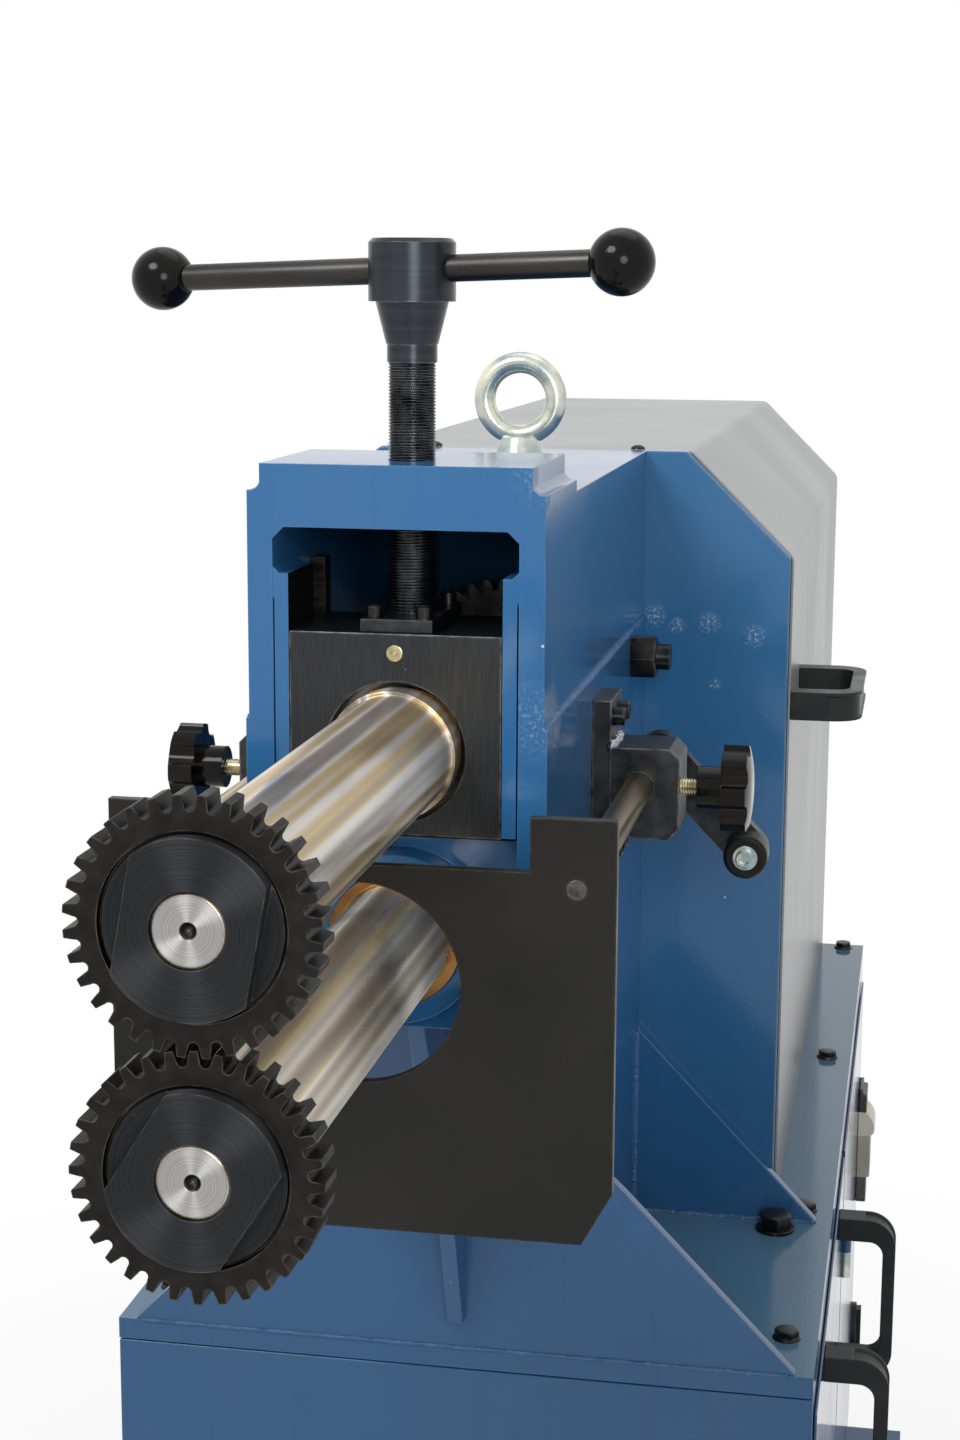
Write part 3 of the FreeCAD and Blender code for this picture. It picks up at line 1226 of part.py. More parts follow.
def clamp_brackets():
    """Bracket on each side plate: a flange and a clamp block bored for the rod and the stud."""
    flange = box("bracket_flange", "low_side_out", "head_front + bracket_start", "base_top + bracket_foot",
                 "bracket_thick", "bracket_long", "bracket_high")
    block = body("clamp_block")
    outline = rectangle("0", "clamp_foot", "clamp_wide", "clamp_foot + clamp_high")
    pad(block, sketch(block, "XZ_Plane", [outline]), "clamp_long", reverse=True)
    outer_edges = edges_along(block.Shape, Y_AXIS, lambda spot: spot.x > value("clamp_wide") - NEAR)
    dress(block, "Chamfer", outer_edges, "clamp_corner")
    place(block, "low_side_out + bracket_thick", "head_front + clamp_start", "base_top")
    solid = joined("bracket_solid", [flange, block])
    bore = rod("bracket_bore", "rod_x", "head_front + clamp_start - overrun", "rod_height",
               "rod_size / 2 + rod_gap", "bracket_long + clamp_long", TO_Y)
    bored = cut("bracket_bored", solid, bore)
    thread = rod("bracket_thread", "rod_x", "star_line", "rod_height",
                 "stud_size / 2 + stud_gap", "clamp_wide", TO_X)
    right = cut("clamp_bracket", bored, thread)
    return group("clamp_brackets", [right, mirrored("clamp_bracket_left", right)])


def bracket_screws():
    """Cap screws that hold the brackets to the side plates, two above and two below each clamp."""
    pieces = []
    for name, z in (("low", "base_top + bracket_foot + bracket_screw_z"),
                    ("high", "base_top + bracket_foot + bracket_high - bracket_screw_z")):
        for side in (-1, 1):
            y = f"head_front + bracket_start + bracket_long / 2 + {side} * bracket_screw_step / 2"
            right = rod(f"bracket_cap_{name}_{side + 1}", "low_side_out + bracket_thick", y, z,
                        "bracket_head", "bracket_head_high", TO_X)
            pieces += [right, mirrored(f"bracket_cap_left_{name}_{side + 1}", right)]
    return group("bracket_screws", pieces)


def star_knob_blank():
    """Right-hand star knob on its stud: hub, lobed disc and a low dome, turned about X."""
    centre = "clamp_out + stud_reach"
    rim = "knob_hub_high + star_thick"
    profile = [
        ("0", "knob_hub / 2"), ("knob_hub_high", "knob_hub / 2"), ("knob_hub_high", "star_radius"),
        (rim, "star_radius"),
        (f"{rim} + star_dome", "star_cap",
         f"{rim} + star_dome * {DOME_HALFWAY}", "(star_radius + star_cap) / 2"),
    ]
    knob = turned("star_blank", "XZ_Plane", "H_Axis", profile)
    notch = [("star_radius + star_bite", "0", "star_scallop")]
    scallop = pocket(knob, sketch(knob, "YZ_Plane", [], notch), "star_thick * 3", reverse=True)
    around(knob, scallop, "star_lobes", "X_Axis")
    place(knob, centre, "star_line", "rod_height")
    stud_start = "rod_x + rod_size / 2 + stud_gap"
    stud = rod("star_stud", stud_start, "star_line", "rod_height", "stud_size / 2",
               f"{centre} - ({stud_start})", TO_X)
    return joined("star_knob_right", [knob, stud])


def gauge_lever():
    """Round-ended arm on the tail of the right-hand rod, down and out to the grip."""
    arm = body("gauge_lever")
    run, drop = "(lever_x - rod_x)", "(rod_z - lever_z)"
    length = f"sqrt({run} * {run} + {drop} * {drop})"
    along = (f"{run} / {length}", f"-{drop} / {length}")
    side = (f"({drop} / {length} * lever_wide)", f"({run} / {length} * lever_wide)")
    outline = [
        (f"{side[0]}", f"{side[1]}", f"-({along[0]} * lever_wide)", f"-({along[1]} * lever_wide)"),
        (f"{run} + {side[0]}", f"-{drop} + {side[1]}"),
        (f"{run} - {side[0]}", f"-{drop} - {side[1]}",
         f"{run} + {along[0]} * lever_wide", f"-{drop} + {along[1]} * lever_wide"),
        (f"-{side[0]}", f"-{side[1]}"),
    ]
    pad(arm, sketch(arm, "XZ_Plane", [outline]), "lever_thick")
    pocket(arm, sketch(arm, "XZ_Plane", [], [("0", "0", "rod_size / 2")]), "lever_thick * 3", both=True)
    return place(arm, "rod_x", "head_front + rod_back", "rod_height")


def lever_grip():
    """Round grip in front of the lever's end."""
    profile = [("-grip_long", "grip_radius - grip_chamfer"),
               ("-grip_long + grip_chamfer", "grip_radius"), ("0", "grip_radius")]
    grip = turned("lever_grip", "YZ_Plane", "H_Axis", profile)
    return place(grip, "lever_x", "head_front + rod_back - lever_thick", "base_top + lever_z")


def lever_screw():
    """Screw and washer on the face of the grip."""
    y = "head_front + rod_back - lever_thick - grip_long"
    screw = turned("lever_screw", "YZ_Plane", "H_Axis",
                   [("-grip_washer_thick - grip_head_high", "grip_head"),
                    ("-grip_washer_thick", "grip_head"), ("-grip_washer_thick", "grip_washer"),
                    ("0", "grip_washer")])
    return place(screw, "lever_x", y, "base_top + lever_z")


def build():
    """Every sub-part under the name that it is kept by."""
    fill_sheet()
    parts = {
        "foot_plate": foot_plate(),
        "cabinet_shell": cabinet_shell(),
        "side_panel": tray("side_panel", "front_doorway_start", "front_doorway_end"),
        "panel_handles": panel_handles(),
        "rear_door": rear_door(),
        "door_hinges": door_hinges(),
        "door_latch": door_latch(),
        "isolator_box": isolator_box(),
        "base_plate": base_plate(),
        "base_bolts": base_bolts(),
        "head_side_plates": head_side_plates(),
        "lower_side_plates": lower_side_plates(),
        "nut_block": nut_block(),
        "top_plate": top_plate(),
        "guide_rails": guide_rails(),
        "lower_housing": lower_housing(),
        "bronze_bush": bronze_bush(),
        "chin_plate": chin_plate(),
        "front_plate": front_plate(),
        "front_rib": front_rib(),
        "rear_plate": rear_plate(),
        "rear_gussets": rear_gussets(),
        "rear_cover": rear_cover(),
        "cover_handle": cover_handle(),
        "cover_screws": cover_screws(),
        "eyebolt": eyebolt(),
        "slide_block": slide_block(),
        "bearing_seat": bearing_seat(),
        "bearing_ball": bearing_ball(),
        "retaining_plates": retaining_plates(),
        "retaining_screws": retaining_screws(),
        "grease_nipple": grease_nipple(),
        "adjusting_screw": adjusting_screw(),
        "handle_hub": handle_hub(),
        "handle_bar": handle_bar(),
        "ball_knobs": ball_knobs(),
        "rear_cradle": rear_cradle(),
        "cradle_bush": cradle_bush(),
        "trunnion_pins": trunnion_pins(),
        "trunnion_nuts": trunnion_nuts(),
        "upper_shaft": upper_shaft(),
        "lower_shaft": lower_shaft(),
        "upper_roll": roll("upper_roll", "upper_axis", 0),
        "lower_roll": roll("lower_roll", "lower_axis", 0.5),
        "upper_roll_nut": roll_nut("upper_roll_nut", "upper_axis", "upper_nut_lean"),
        "lower_roll_nut": roll_nut("lower_roll_nut", "lower_axis", "lower_nut_lean"),
        "upper_gear": gear("upper_gear", "upper_axis", 90),
        "lower_gear": gear("lower_gear", "lower_axis", 84),
        "rear_bearing_housing": rear_bearing_housing(),
        "gearbox": gearbox(),
        "motor": motor(),
        "stop_plate": stop_plate(),
        "gauge_rods": gauge_rods(),
        "clamp_brackets": clamp_brackets(),
        "bracket_screws": bracket_screws(),
        "gauge_lever": gauge_lever(),
        "lever_grip": lever_grip(),
        "lever_screw": lever_screw(),
    }
    right_knob = star_knob_blank()
    parts["star_knob_right"] = right_knob
    parts["star_knob_left"] = mirrored("star_knob_left", right_knob)
    doc.recompute()
    return parts


def write(parts):
    """Check every object and every sub-part, then write one file for each sub-part."""
    for thing in doc.Objects:
        if "Invalid" in thing.State or "Error" in thing.State:
            raise RuntimeError(f"{thing.Label}: {thing.State}")
    for label, part in parts.items():
        if part.Label != label:
            raise RuntimeError(f"{label} is labelled {part.Label}")
        if part.Shape.isNull() or not part.Shape.isValid() or part.Shape.Volume <= 0:
            raise RuntimeError(label + ": bad shape")
    os.makedirs("parts", exist_ok=True)
    for label, part in parts.items():
        part.Shape.exportStep(f"parts/{label}.step")
        print(label, len(part.Shape.Solids), round(part.Shape.Volume / 1000, 1), "cm3")


write(build())
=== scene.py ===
import bpy
import bmesh
import json
import math
from mathutils import Matrix, Vector


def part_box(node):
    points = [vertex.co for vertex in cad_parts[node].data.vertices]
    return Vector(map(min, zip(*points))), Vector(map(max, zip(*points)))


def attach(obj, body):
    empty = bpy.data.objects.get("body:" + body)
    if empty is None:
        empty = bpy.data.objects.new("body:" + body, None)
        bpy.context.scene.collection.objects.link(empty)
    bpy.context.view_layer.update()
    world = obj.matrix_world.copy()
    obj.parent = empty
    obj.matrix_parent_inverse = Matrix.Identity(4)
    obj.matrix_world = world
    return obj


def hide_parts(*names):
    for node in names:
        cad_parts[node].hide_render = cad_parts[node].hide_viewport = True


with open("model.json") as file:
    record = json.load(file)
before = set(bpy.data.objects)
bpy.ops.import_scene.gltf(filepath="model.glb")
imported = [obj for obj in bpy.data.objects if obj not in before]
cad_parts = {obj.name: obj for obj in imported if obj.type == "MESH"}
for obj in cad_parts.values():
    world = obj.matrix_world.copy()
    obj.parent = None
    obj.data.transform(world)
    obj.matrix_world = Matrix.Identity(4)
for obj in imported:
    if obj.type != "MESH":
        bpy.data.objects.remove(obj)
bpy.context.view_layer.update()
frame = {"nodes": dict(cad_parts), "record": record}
scene = bpy.context.scene
scene.view_settings.view_transform = "Standard"
mm = 0.001

# The photograph's viewpoint: a little above the roll heads, in front of the machine and to its right,
# looking slightly down and left along the shafts.
camera = bpy.data.objects.new("camera", bpy.data.cameras.new("camera"))
camera.data.sensor_fit = "VERTICAL"
camera.data.sensor_height = 36
camera.data.lens = 59.6
camera.matrix_world = (Matrix.Translation((0.3153, -2.1672, 1.38))
                       @ Matrix.Rotation(math.radians(10.67), 4, "Z")
                       @ Matrix.Rotation(math.radians(79.57), 4, "X")
                       @ Matrix.Rotation(math.radians(0.29), 4, "Z"))
scene.collection.objects.link(camera)
scene.camera = camera


def feed(tree, node, inputs):
    """Give a node's inputs, by name or number, their values or the sockets they come from."""
    for name, value in dict(inputs).items():
        if isinstance(value, bpy.types.NodeSocket):
            tree.links.new(value, node.inputs[name])
        else:
            node.inputs[name].default_value = value


def put(tree, kind, inputs=(), **settings):
    """Add a node with its inputs and with settings of its own."""
    node = tree.nodes.new("ShaderNode" + kind)
    for name, setting in settings.items():
        setattr(node, name, setting)
    feed(tree, node, inputs)
    return node


def reckon(tree, operation, *values):
    """One step of arithmetic between values or sockets."""
    return put(tree, "Math", enumerate(values), operation=operation).outputs[0]


def between(tree, value, low, high, to_low=0.0, to_high=1.0):
    """Carry a value from one range over to another, and hold it at the ends."""
    reach = {"Value": value, "From Min": low, "From Max": high, "To Min": to_low, "To Max": to_high}
    return put(tree, "MapRange", reach).outputs[0]


# Studio: a white room seen by the camera and by every polished face, with a weaker pale sky for the
# soft light, and three big lamps: a key from the front left, a fill from the right, one overhead.
world = bpy.data.worlds.new("studio")
world.use_nodes = True
sky = world.node_tree
rays = put(sky, "LightPath").outputs
seen = reckon(sky, "MAXIMUM", reckon(sky, "MAXIMUM", rays["Is Camera Ray"], rays["Is Glossy Ray"]),
              rays["Is Transmission Ray"])
sky_glow = between(sky, seen, 0, 1, 0.48, 1.0)
feed(sky, sky.nodes["Background"], {"Color": (1, 1, 1, 1), "Strength": sky_glow})
scene.world = world

for lamp_name, spot, target, size, power in (
        ("key_lamp", (-1.0, -2.2, 2.9), (0, -0.7, 1.1), (1.2, 0.9), 34),
        ("fill_lamp", (0.7, -3.0, 1.7), (0, -0.6, 1.1), (1.0, 1.0), 19),
        ("top_lamp", (0.2, 0.1, 3.4), (0, -0.3, 1.0), (2.4, 1.4), 8)):
    lamp = bpy.data.objects.new(lamp_name, bpy.data.lights.new(lamp_name, "AREA"))
    lamp.data.shape = "ELLIPSE"
    lamp.data.size, lamp.data.size_y = size
    lamp.data.energy = power
    lamp.location = spot
    lamp.rotation_euler = (Vector(target) - Vector(spot)).to_track_quat("-Z", "Y").to_euler()
    scene.collection.objects.link(lamp)


def lay_aside():
    """Back to object mode with nothing selected, so that the next operator acts on one piece only."""
    if bpy.context.mode != "OBJECT":
        bpy.ops.object.mode_set(mode="OBJECT")
    bpy.ops.object.select_all(action="DESELECT")


def begin(kind, **sizes):
    """A primitive at its size and place, the only thing selected, with its place already in its mesh."""
    lay_aside()
    getattr(bpy.ops.mesh, "primitive_" + kind + "_add")(**sizes)
    bpy.ops.object.transform_apply(location=True, rotation=True, scale=True)
    return bpy.context.object


def shader(name):
    """A new material: its node tree and its main shader."""
    material = bpy.data.materials.new(name)
    material.use_nodes = True
    return material, material.node_tree, material.node_tree.nodes["Principled BSDF"]


def ramp(tree, share, stops):
    """Tones along a range of 0 to 1, given as (position, colour) stops."""
    node = put(tree, "ValToRGB", {"Fac": share})
    tones = node.color_ramp.elements
    tones[0].position, tones[0].color = stops[0]
    tones[1].position, tones[1].color = stops[-1]
    for position, colour in stops[1:-1]:
        tones.new(position).color = colour
    return node


# Floor: pale smooth concrete that runs into the white background a step away from the machine, where
# it still takes the machine's shadow.
floor = begin("grid", x_subdivisions=4, y_subdivisions=4, size=60, location=(0, 0, 0))
floor.name = "floor"
concrete, tree, surface = shader("pale_floor")
ground = put(tree, "TexCoord").outputs["Object"]
mottle = put(tree, "TexNoise", {"Vector": ground, "Scale": 6, "Detail": 4})
pale = ramp(tree, mottle.outputs["Fac"], ((0, (0.50, 0.50, 0.50, 1)), (1, (0.60, 0.60, 0.60, 1))))
feed(tree, surface, {"Base Color": pale.outputs[0], "Roughness": 0.7})
glow = put(tree, "Emission", {"Color": (1, 1, 1, 1), "Strength": 1.0})
rays = put(tree, "LightPath").outputs
straight = reckon(tree, "MAXIMUM", rays["Is Camera Ray"], rays["Is Glossy Ray"])
away = put(tree, "VectorMath", {0: ground}, operation="LENGTH").outputs["Value"]
white_share = reckon(tree, "MULTIPLY", straight, between(tree, away, 0.4, 1.5, 0.86, 1.0))
blend = put(tree, "MixShader", {0: white_share, 1: surface.outputs[0], 2: glow.outputs[0]})
tree.links.new(blend.outputs[0], tree.nodes["Material Output"].inputs["Surface"])
floor.data.materials.append(concrete)


# Cabinet: a welded sheet-steel box without top or floor on a thick foot plate with anchor holes, all in
# blue machine enamel. The solids of the frame already have the right shape here; their edges are eased.
def work_on(piece, in_edit=True):
    """Select one piece only, and open its mesh for editing."""
    lay_aside()
    piece.select_set(True)
    bpy.context.view_layer.objects.active = piece
    if in_edit:
        bpy.ops.object.mode_set(mode="EDIT")
    return piece


def apply(piece, kind, **settings):
    """Give a piece a modifier and make it part of the mesh."""
    work_on(piece, in_edit=False)
    modifier = piece.modifiers.new("worked", kind)
    for name, setting in settings.items():
        setattr(modifier, name, setting)
    bpy.ops.object.modifier_apply(modifier="worked")
    return piece


def rework(piece, *steps):
    """Run mesh operators on a whole piece one after the other, each given as (name, settings)."""
    work_on(piece)
    for name, settings in steps:
        bpy.ops.mesh.select_all(action="SELECT")
        getattr(bpy.ops.mesh, name)(**settings)
    lay_aside()
    return piece


merge = ("remove_doubles", {"threshold": 0.01 * mm})
flatten = ("dissolve_limited", {"angle_limit": math.radians(0.6)})
turn_out = ("normals_make_consistent", {"inside": False})
fill = ("fill_holes", {"sides": 0})


def ease(piece, width, rows=2, corner=30):
    """Round every edge that is sharper than the corner angle."""
    return apply(piece, "BEVEL", width=width, segments=rows, limit_method="ANGLE",
                 angle_limit=math.radians(corner))


bodies = {node: body for body, nodes in frame["record"]["behaviour"]["bodies"].items() for node in nodes}


def finish(piece, name, material, like, *stands_for, smooth=35):
    """Name a piece, smooth it and paint it. It rides with the node that it is like, and has its finish."""
    piece.name = name
    work_on(piece, in_edit=False)
    bpy.ops.object.shade_smooth_by_angle(angle=math.radians(smooth))
    piece.data.materials.clear()
    piece.data.materials.append(material)
    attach(piece, bodies[like])
    if stands_for:
        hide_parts(*stands_for)
    return piece


def merged_copy(node, flats=True):
    """A copy of a solid's mesh with its triangles joined up and, if asked, its flat faces made whole."""
    piece = bpy.data.objects.new(node + "_copy", frame["nodes"][node].data.copy())
    scene.collection.objects.link(piece)
    return rework(piece, merge, flatten) if flats else rework(piece, merge)


def level_shading(piece):
    """Keep the large faces flat up to their rounded edges."""
    return apply(piece, "WEIGHTED_NORMAL", keep_sharp=True)


def eased_copy(node, width, material, rows=2):
    """The plain solid's own shape with its edges rounded, in its place."""
    piece = ease(merged_copy(node), width, rows)
    return level_shading(finish(piece, node + "_eased", material, node, node))


def tint(red, green, blue):
    """A colour from paint-chart values of 0 to 255."""
    chart = (red / 255, green / 255, blue / 255)
    return tuple(c / 12.92 if c <= 0.04045 else ((c + 0.055) / 1.055) ** 2.4 for c in chart) + (1,)


def effect(name, inputs, outputs):
    """A node group for an effect that finishes share: its tree, inputs, outputs and the shaded point."""
    tree = bpy.data.node_groups.new(name, "ShaderNodeTree")
    for label, kind, value in inputs:
        socket = tree.interface.new_socket(label, in_out="INPUT", socket_type="NodeSocket" + kind)
        socket.default_value = value
    for label, kind in outputs:
        tree.interface.new_socket(label, in_out="OUTPUT", socket_type="NodeSocket" + kind)
    return (tree, tree.nodes.new("NodeGroupInput").outputs, tree.nodes.new("NodeGroupOutput").inputs,
            put(tree, "TexCoord").outputs["Object"])


def use(tree, group, **inputs):
    """Place an effect in a material with its own values."""
    return put(tree, "Group", inputs, node_tree=group).outputs


# Worn edges: the handling that brightens every outer edge, broken up along its length.
worn_edges, given, made, place = effect(
    "worn_edges", [("Width", "Float", 1.5 * mm), ("Breaks", "Float", 90.0)], [("Mask", "Float")])
rounded = put(worn_edges, "Bevel", {"Radius": given["Width"]}, samples=4)
plain = put(worn_edges, "NewGeometry")
agree = put(worn_edges, "VectorMath", {0: rounded.outputs[0], 1: plain.outputs["Normal"]},
            operation="DOT_PRODUCT")
turned_away = reckon(worn_edges, "SUBTRACT", 1.0, agree.outputs["Value"])
breaks = put(worn_edges, "TexNoise", {"Vector": place, "Scale": given["Breaks"], "Detail": 3})
edge = between(worn_edges, turned_away, 0.01, 0.16)
ragged = between(worn_edges, breaks.outputs["Fac"], 0.35, 0.62)
worn_edges.links.new(reckon(worn_edges, "MULTIPLY", edge, ragged), made["Mask"])

# Orange peel: the slight waviness of thick sprayed paint.
orange_peel, given, made, place = effect(
    "orange_peel", [("Size", "Float", 260.0), ("Height", "Float", 0.12)], [("Normal", "Vector")])
waves = put(orange_peel, "TexNoise", {"Vector": place, "Scale": given["Size"], "Detail": 1.5})
peel = put(orange_peel, "Bump", {"Height": waves.outputs["Fac"], "Strength": given["Height"],
                                 "Distance": 0.6 * mm})
orange_peel.links.new(peel.outputs[0], made["Normal"])

# Specks: small chips and dust nibs scattered over a surface.
specks, given, made, place = effect(
    "specks", [("Spread", "Float", 60.0), ("Size", "Float", 0.09), ("Few", "Float", 0.86)],
    [("Mask", "Float")])
cells = put(specks, "TexVoronoi", {"Vector": place, "Scale": given["Spread"]})
chance = put(specks, "SeparateColor", {0: cells.outputs["Color"]})
chosen = reckon(specks, "GREATER_THAN", chance.outputs[0], given["Few"])
near = reckon(specks, "LESS_THAN", cells.outputs["Distance"], given["Size"])
specks.links.new(reckon(specks, "MULTIPLY", chosen, near), made["Mask"])

# Streaks: long soft marks in one direction, as from brushing, wiping or running paint.
streaks, given, made, place = effect(
    "streaks", [("Stretch", "Vector", (300.0, 300.0, 8.0)), ("Detail", "Float", 4.0)], [("Value", "Float")])
drawn = put(streaks, "VectorMath", {0: place, 1: given["Stretch"]}, operation="MULTIPLY")
marks = put(streaks, "TexNoise", {"Vector": drawn.outputs[0], "Scale": 1.0, "Detail": given["Detail"]})
streaks.links.new(marks.outputs["Fac"], made["Value"])


def blended(tree, share, first, second):
    """A colour between two colours."""
    mix = put(tree, "Mix", {0: share, 6: first, 7: second}, data_type="RGBA")
    return mix.outputs[2]


def painted(name, colour, edge_and_glint_colour, gloss=0.11, chips=0.9, peel=0.10, rubbed=0.45, runs=0.10, dust_and_sheen=0.0,
            scars=()):
    """Sprayed machine enamel: orange peel, faint clouds and runs, small chips, rubbed edges, and painted
    shade that darkens it towards the bottom.

    Faces that look up are paled by a share of dust and painted reflection. The scars are (spot, reach):
    places where a weld was ground back under the paint and left it wrinkled, with the crests of the
    wrinkles lightened as painted glints.
    """
    material, tree, surface = shader(name)
    clouds = use(tree, streaks, Stretch=(5.0, 5.0, 2.5), Detail=3.0)["Value"]
    tone = blended(tree, between(tree, clouds, 0.3, 0.7, 0.0, 0.06), colour, tint(150, 165, 180))
    run_marks = use(tree, streaks, Stretch=(90.0, 90.0, 6.0), Detail=2.0)["Value"]
    run_colour = tuple(c * 0.6 for c in colour[:3]) + (1,)
    tone = blended(tree, between(tree, run_marks, 0.55, 0.75, 0.0, runs), tone, run_colour)
    place = put(tree, "TexCoord").outputs["Object"]
    height = put(tree, "SeparateXYZ", {0: place}).outputs["Z"]
    # Painted shade: the enamel darkens towards the bottom of the machine, where less light reaches.
    low_shade = between(tree, height, 0.62, 0.84, 0.36, 0.0)
    tone = blended(tree, low_shade, tone, tint(42, 42, 40))
    facing = put(tree, "SeparateXYZ", {0: put(tree, "NewGeometry").outputs["Normal"]}).outputs["Z"]
    # Faces that look up are paled: partly dust, partly a painted reflection of the light above.
    tone = blended(tree, between(tree, facing, 0.7, 0.95, 0.0, dust_and_sheen), tone, tint(120, 160, 174))
    chipped = use(tree, specks, Spread=55.0, Size=0.05, Few=chips)["Mask"]
    tone = blended(tree, chipped, tone, tint(200, 206, 212))
    edges = use(tree, worn_edges, Width=1.4 * mm, Breaks=70.0)["Mask"]
    tone = blended(tree, reckon(tree, "MULTIPLY", edges, rubbed), tone, edge_and_glint_colour)
    skin = use(tree, orange_peel, Size=230.0, Height=peel)["Normal"]
    for spot, reach in scars:
        gap = put(tree, "VectorMath", {0: place, 1: spot}, operation="DISTANCE").outputs["Value"]
        wrinkles = put(tree, "TexNoise", {"Vector": place, "Scale": 420.0, "Detail": 3})
        near = between(tree, gap, reach * 0.4, reach, 1.0, 0.0)
        # Painted glints: the crests of the wrinkles are lightened towards the colour of the rubbed edges.
        glint_crests = between(tree, wrinkles.outputs["Fac"], 0.52, 0.66, 0.0, 0.5)
        tone = blended(tree, reckon(tree, "MULTIPLY", glint_crests, near), tone, edge_and_glint_colour)
        rise = reckon(tree, "MULTIPLY", wrinkles.outputs["Fac"], near)
        skin = put(tree, "Bump", {"Height": rise, "Strength": 0.5, "Distance": 1.2 * mm,
                                  "Normal": skin}).outputs[0]
    feed(tree, surface, {"Base Color": tone, "Normal": skin, "Specular IOR Level": 0.35,
                         "Roughness": between(tree, clouds, 0.3, 0.7, gloss - 0.02, gloss + 0.05)})
    return material


blue = tint(43, 104, 157)
blue_paint = painted("blue_enamel", blue, tint(104, 146, 184))
eased_copy("foot_plate", 1.5 * mm, blue_paint)


def pick(kind, test):
    """In edit mode, select only the faces or corners whose middle and direction pass the test."""
    mesh = bpy.context.object.data
    bpy.ops.mesh.select_mode(type={"faces": "FACE", "corners": "VERT"}[kind])
    bpy.ops.mesh.select_all(action="DESELECT")
    shape = bmesh.from_edit_mesh(mesh)
    if kind == "faces":
        chosen = [face for face in shape.faces if test(face.calc_center_median(), face.normal)]
    else:
        chosen = [corner for corner in shape.verts if test(corner.co, corner.normal)]
    for part in chosen:
        part.select_set(True)
    shape.select_flush_mode()
    bmesh.update_edit_mesh(mesh)


def shifted(piece, test, step):
    """Move only the corners that pass the test."""
    work_on(piece)
    pick("corners", test)
    bpy.ops.transform.translate(value=step)
    lay_aside()
    return piece


# The sheet's top edge stops just short of the base plate, which leaves a dark line under the plate.
cabinet_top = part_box("cabinet_shell")[1].z
dark_line = 1.2 * mm
cabinet = merged_copy("cabinet_shell")
shifted(cabinet, lambda corner, facing: corner.z > cabinet_top - 0.1 * mm, (0, 0, -dark_line))
ease(cabinet, 1.0 * mm)
level_shading(finish(cabinet, "cabinet_welded", blue_paint, "cabinet_shell", "cabinet_shell"))


# Base plate: thick flame-cut plate on the cabinet's top, with its bolt holes, in the same enamel.
# The base plate's enamel is paled on its upward faces: partly dust, partly painted reflection.
base_paint = painted("base_enamel", blue, tint(104, 146, 184), dust_and_sheen=0.4)
eased_copy("base_plate", 1.2 * mm, base_paint)


# Base bolts: eight black flange bolts along the edges, and a heavy bolt on a thick washer at each side
# in front of the rear plate. The heads are forged hexagons with their corners turned down.
def drawn_line(start, moves):
    """A line drawn from a corner that is extruded move by move."""
    piece = begin("plane", size=mm, location=start)
    work_on(piece)
    bpy.ops.mesh.select_mode(type="VERT")
    bpy.ops.mesh.select_all(action="SELECT")
    bpy.ops.mesh.merge(type="CENTER")
    for move in moves:
        bpy.ops.mesh.extrude_vertices_move(TRANSFORM_OT_translate={"value": move})
    return piece


def turned(outline, foot, axis, steps=48):
    """A piece off the lathe: (along, radius) points drawn as a line and spun round the axis."""
    foot, axis = Vector(foot), Vector(axis)
    out = axis.orthogonal().normalized()
    spots = [foot + axis * along + out * radius for along, radius in outline]
    line = drawn_line(spots[0], [there - here for here, there in zip(spots, spots[1:])])
    spin = ("spin", {"steps": steps, "angle": 2 * math.pi, "center": foot, "axis": axis})
    return rework(line, spin, merge, turn_out)


def carve(piece, cutter, operation="DIFFERENCE"):
    """Cut a piece by another, or keep only what they share; the cutter is used up."""
    apply(piece, "BOOLEAN", operation=operation, object=cutter, solver="EXACT")
    bpy.data.objects.remove(cutter, do_unlink=True)
    return piece


def prism(flats, high, foot, axis, lean=0.0):
    """A six-sided bar, given its size across the flats."""
    foot, axis = Vector(foot), Vector(axis)
    turn = axis.to_track_quat("Z", "Y").to_matrix() @ Matrix.Rotation(lean, 3, "Z")
    return begin("cylinder", vertices=6, radius=flats / 2 / math.cos(math.pi / 6), depth=high,
                 location=foot + axis * high / 2, rotation=turn.to_euler())


def hexagon_head(flats, high, foot, axis, lean=0.0):
    """A forged hexagon with the corners of its top turned down."""
    head = prism(flats, high, foot, axis, lean)
    wide = flats * 0.6
    drop = (wide - flats * 0.475) * math.tan(math.pi / 6)
    disc = turned([(0, 0), (0, wide), (high - drop, wide), (high, flats * 0.475), (high, 0)], foot, axis)
    return carve(head, disc, "INTERSECT")


def joined(pieces):
    """Several meshes made one piece."""
    work_on(pieces[0], in_edit=False)
    for piece in pieces:
        piece.select_set(True)
    bpy.ops.object.join()
    return pieces[0]


def again(piece, matrix):
    """Another piece of the same make in its own place, with its own mesh."""
    other = piece.copy()
    other.data = piece.data.copy()
    other.data.transform(matrix)
    scene.collection.objects.link(other)
    return rework(other, turn_out) if matrix.determinant() < 0 else other


def faced_grain(tree, middle):
    """The rings of a facing cut round a shaft's axis, as light and dark lines."""
    place = put(tree, "TexCoord").outputs["Object"]
    out = put(tree, "VectorMath", {0: place, 1: middle}, operation="SUBTRACT").outputs[0]
    across = put(tree, "VectorMath", {0: out, 1: (1.0, 0.0, 1.0)}, operation="MULTIPLY").outputs[0]
    radius = put(tree, "VectorMath", {0: across}, operation="LENGTH").outputs["Value"]
    lines = put(tree, "TexNoise", {"W": radius, "Scale": 1400.0, "Detail": 3}, noise_dimensions="1D")
    return lines.outputs["Fac"]


def rings_of_tool(tree, surface, axis, pull):
    """The fine rings that a lathe leaves round an axis: they draw each light out across themselves."""
    rings = put(tree, "Tangent", direction_type="RADIAL", axis=axis)
    feed(tree, surface, {"Tangent": rings.outputs[0], "Anisotropic": pull, "Anisotropic Rotation": 0.25})


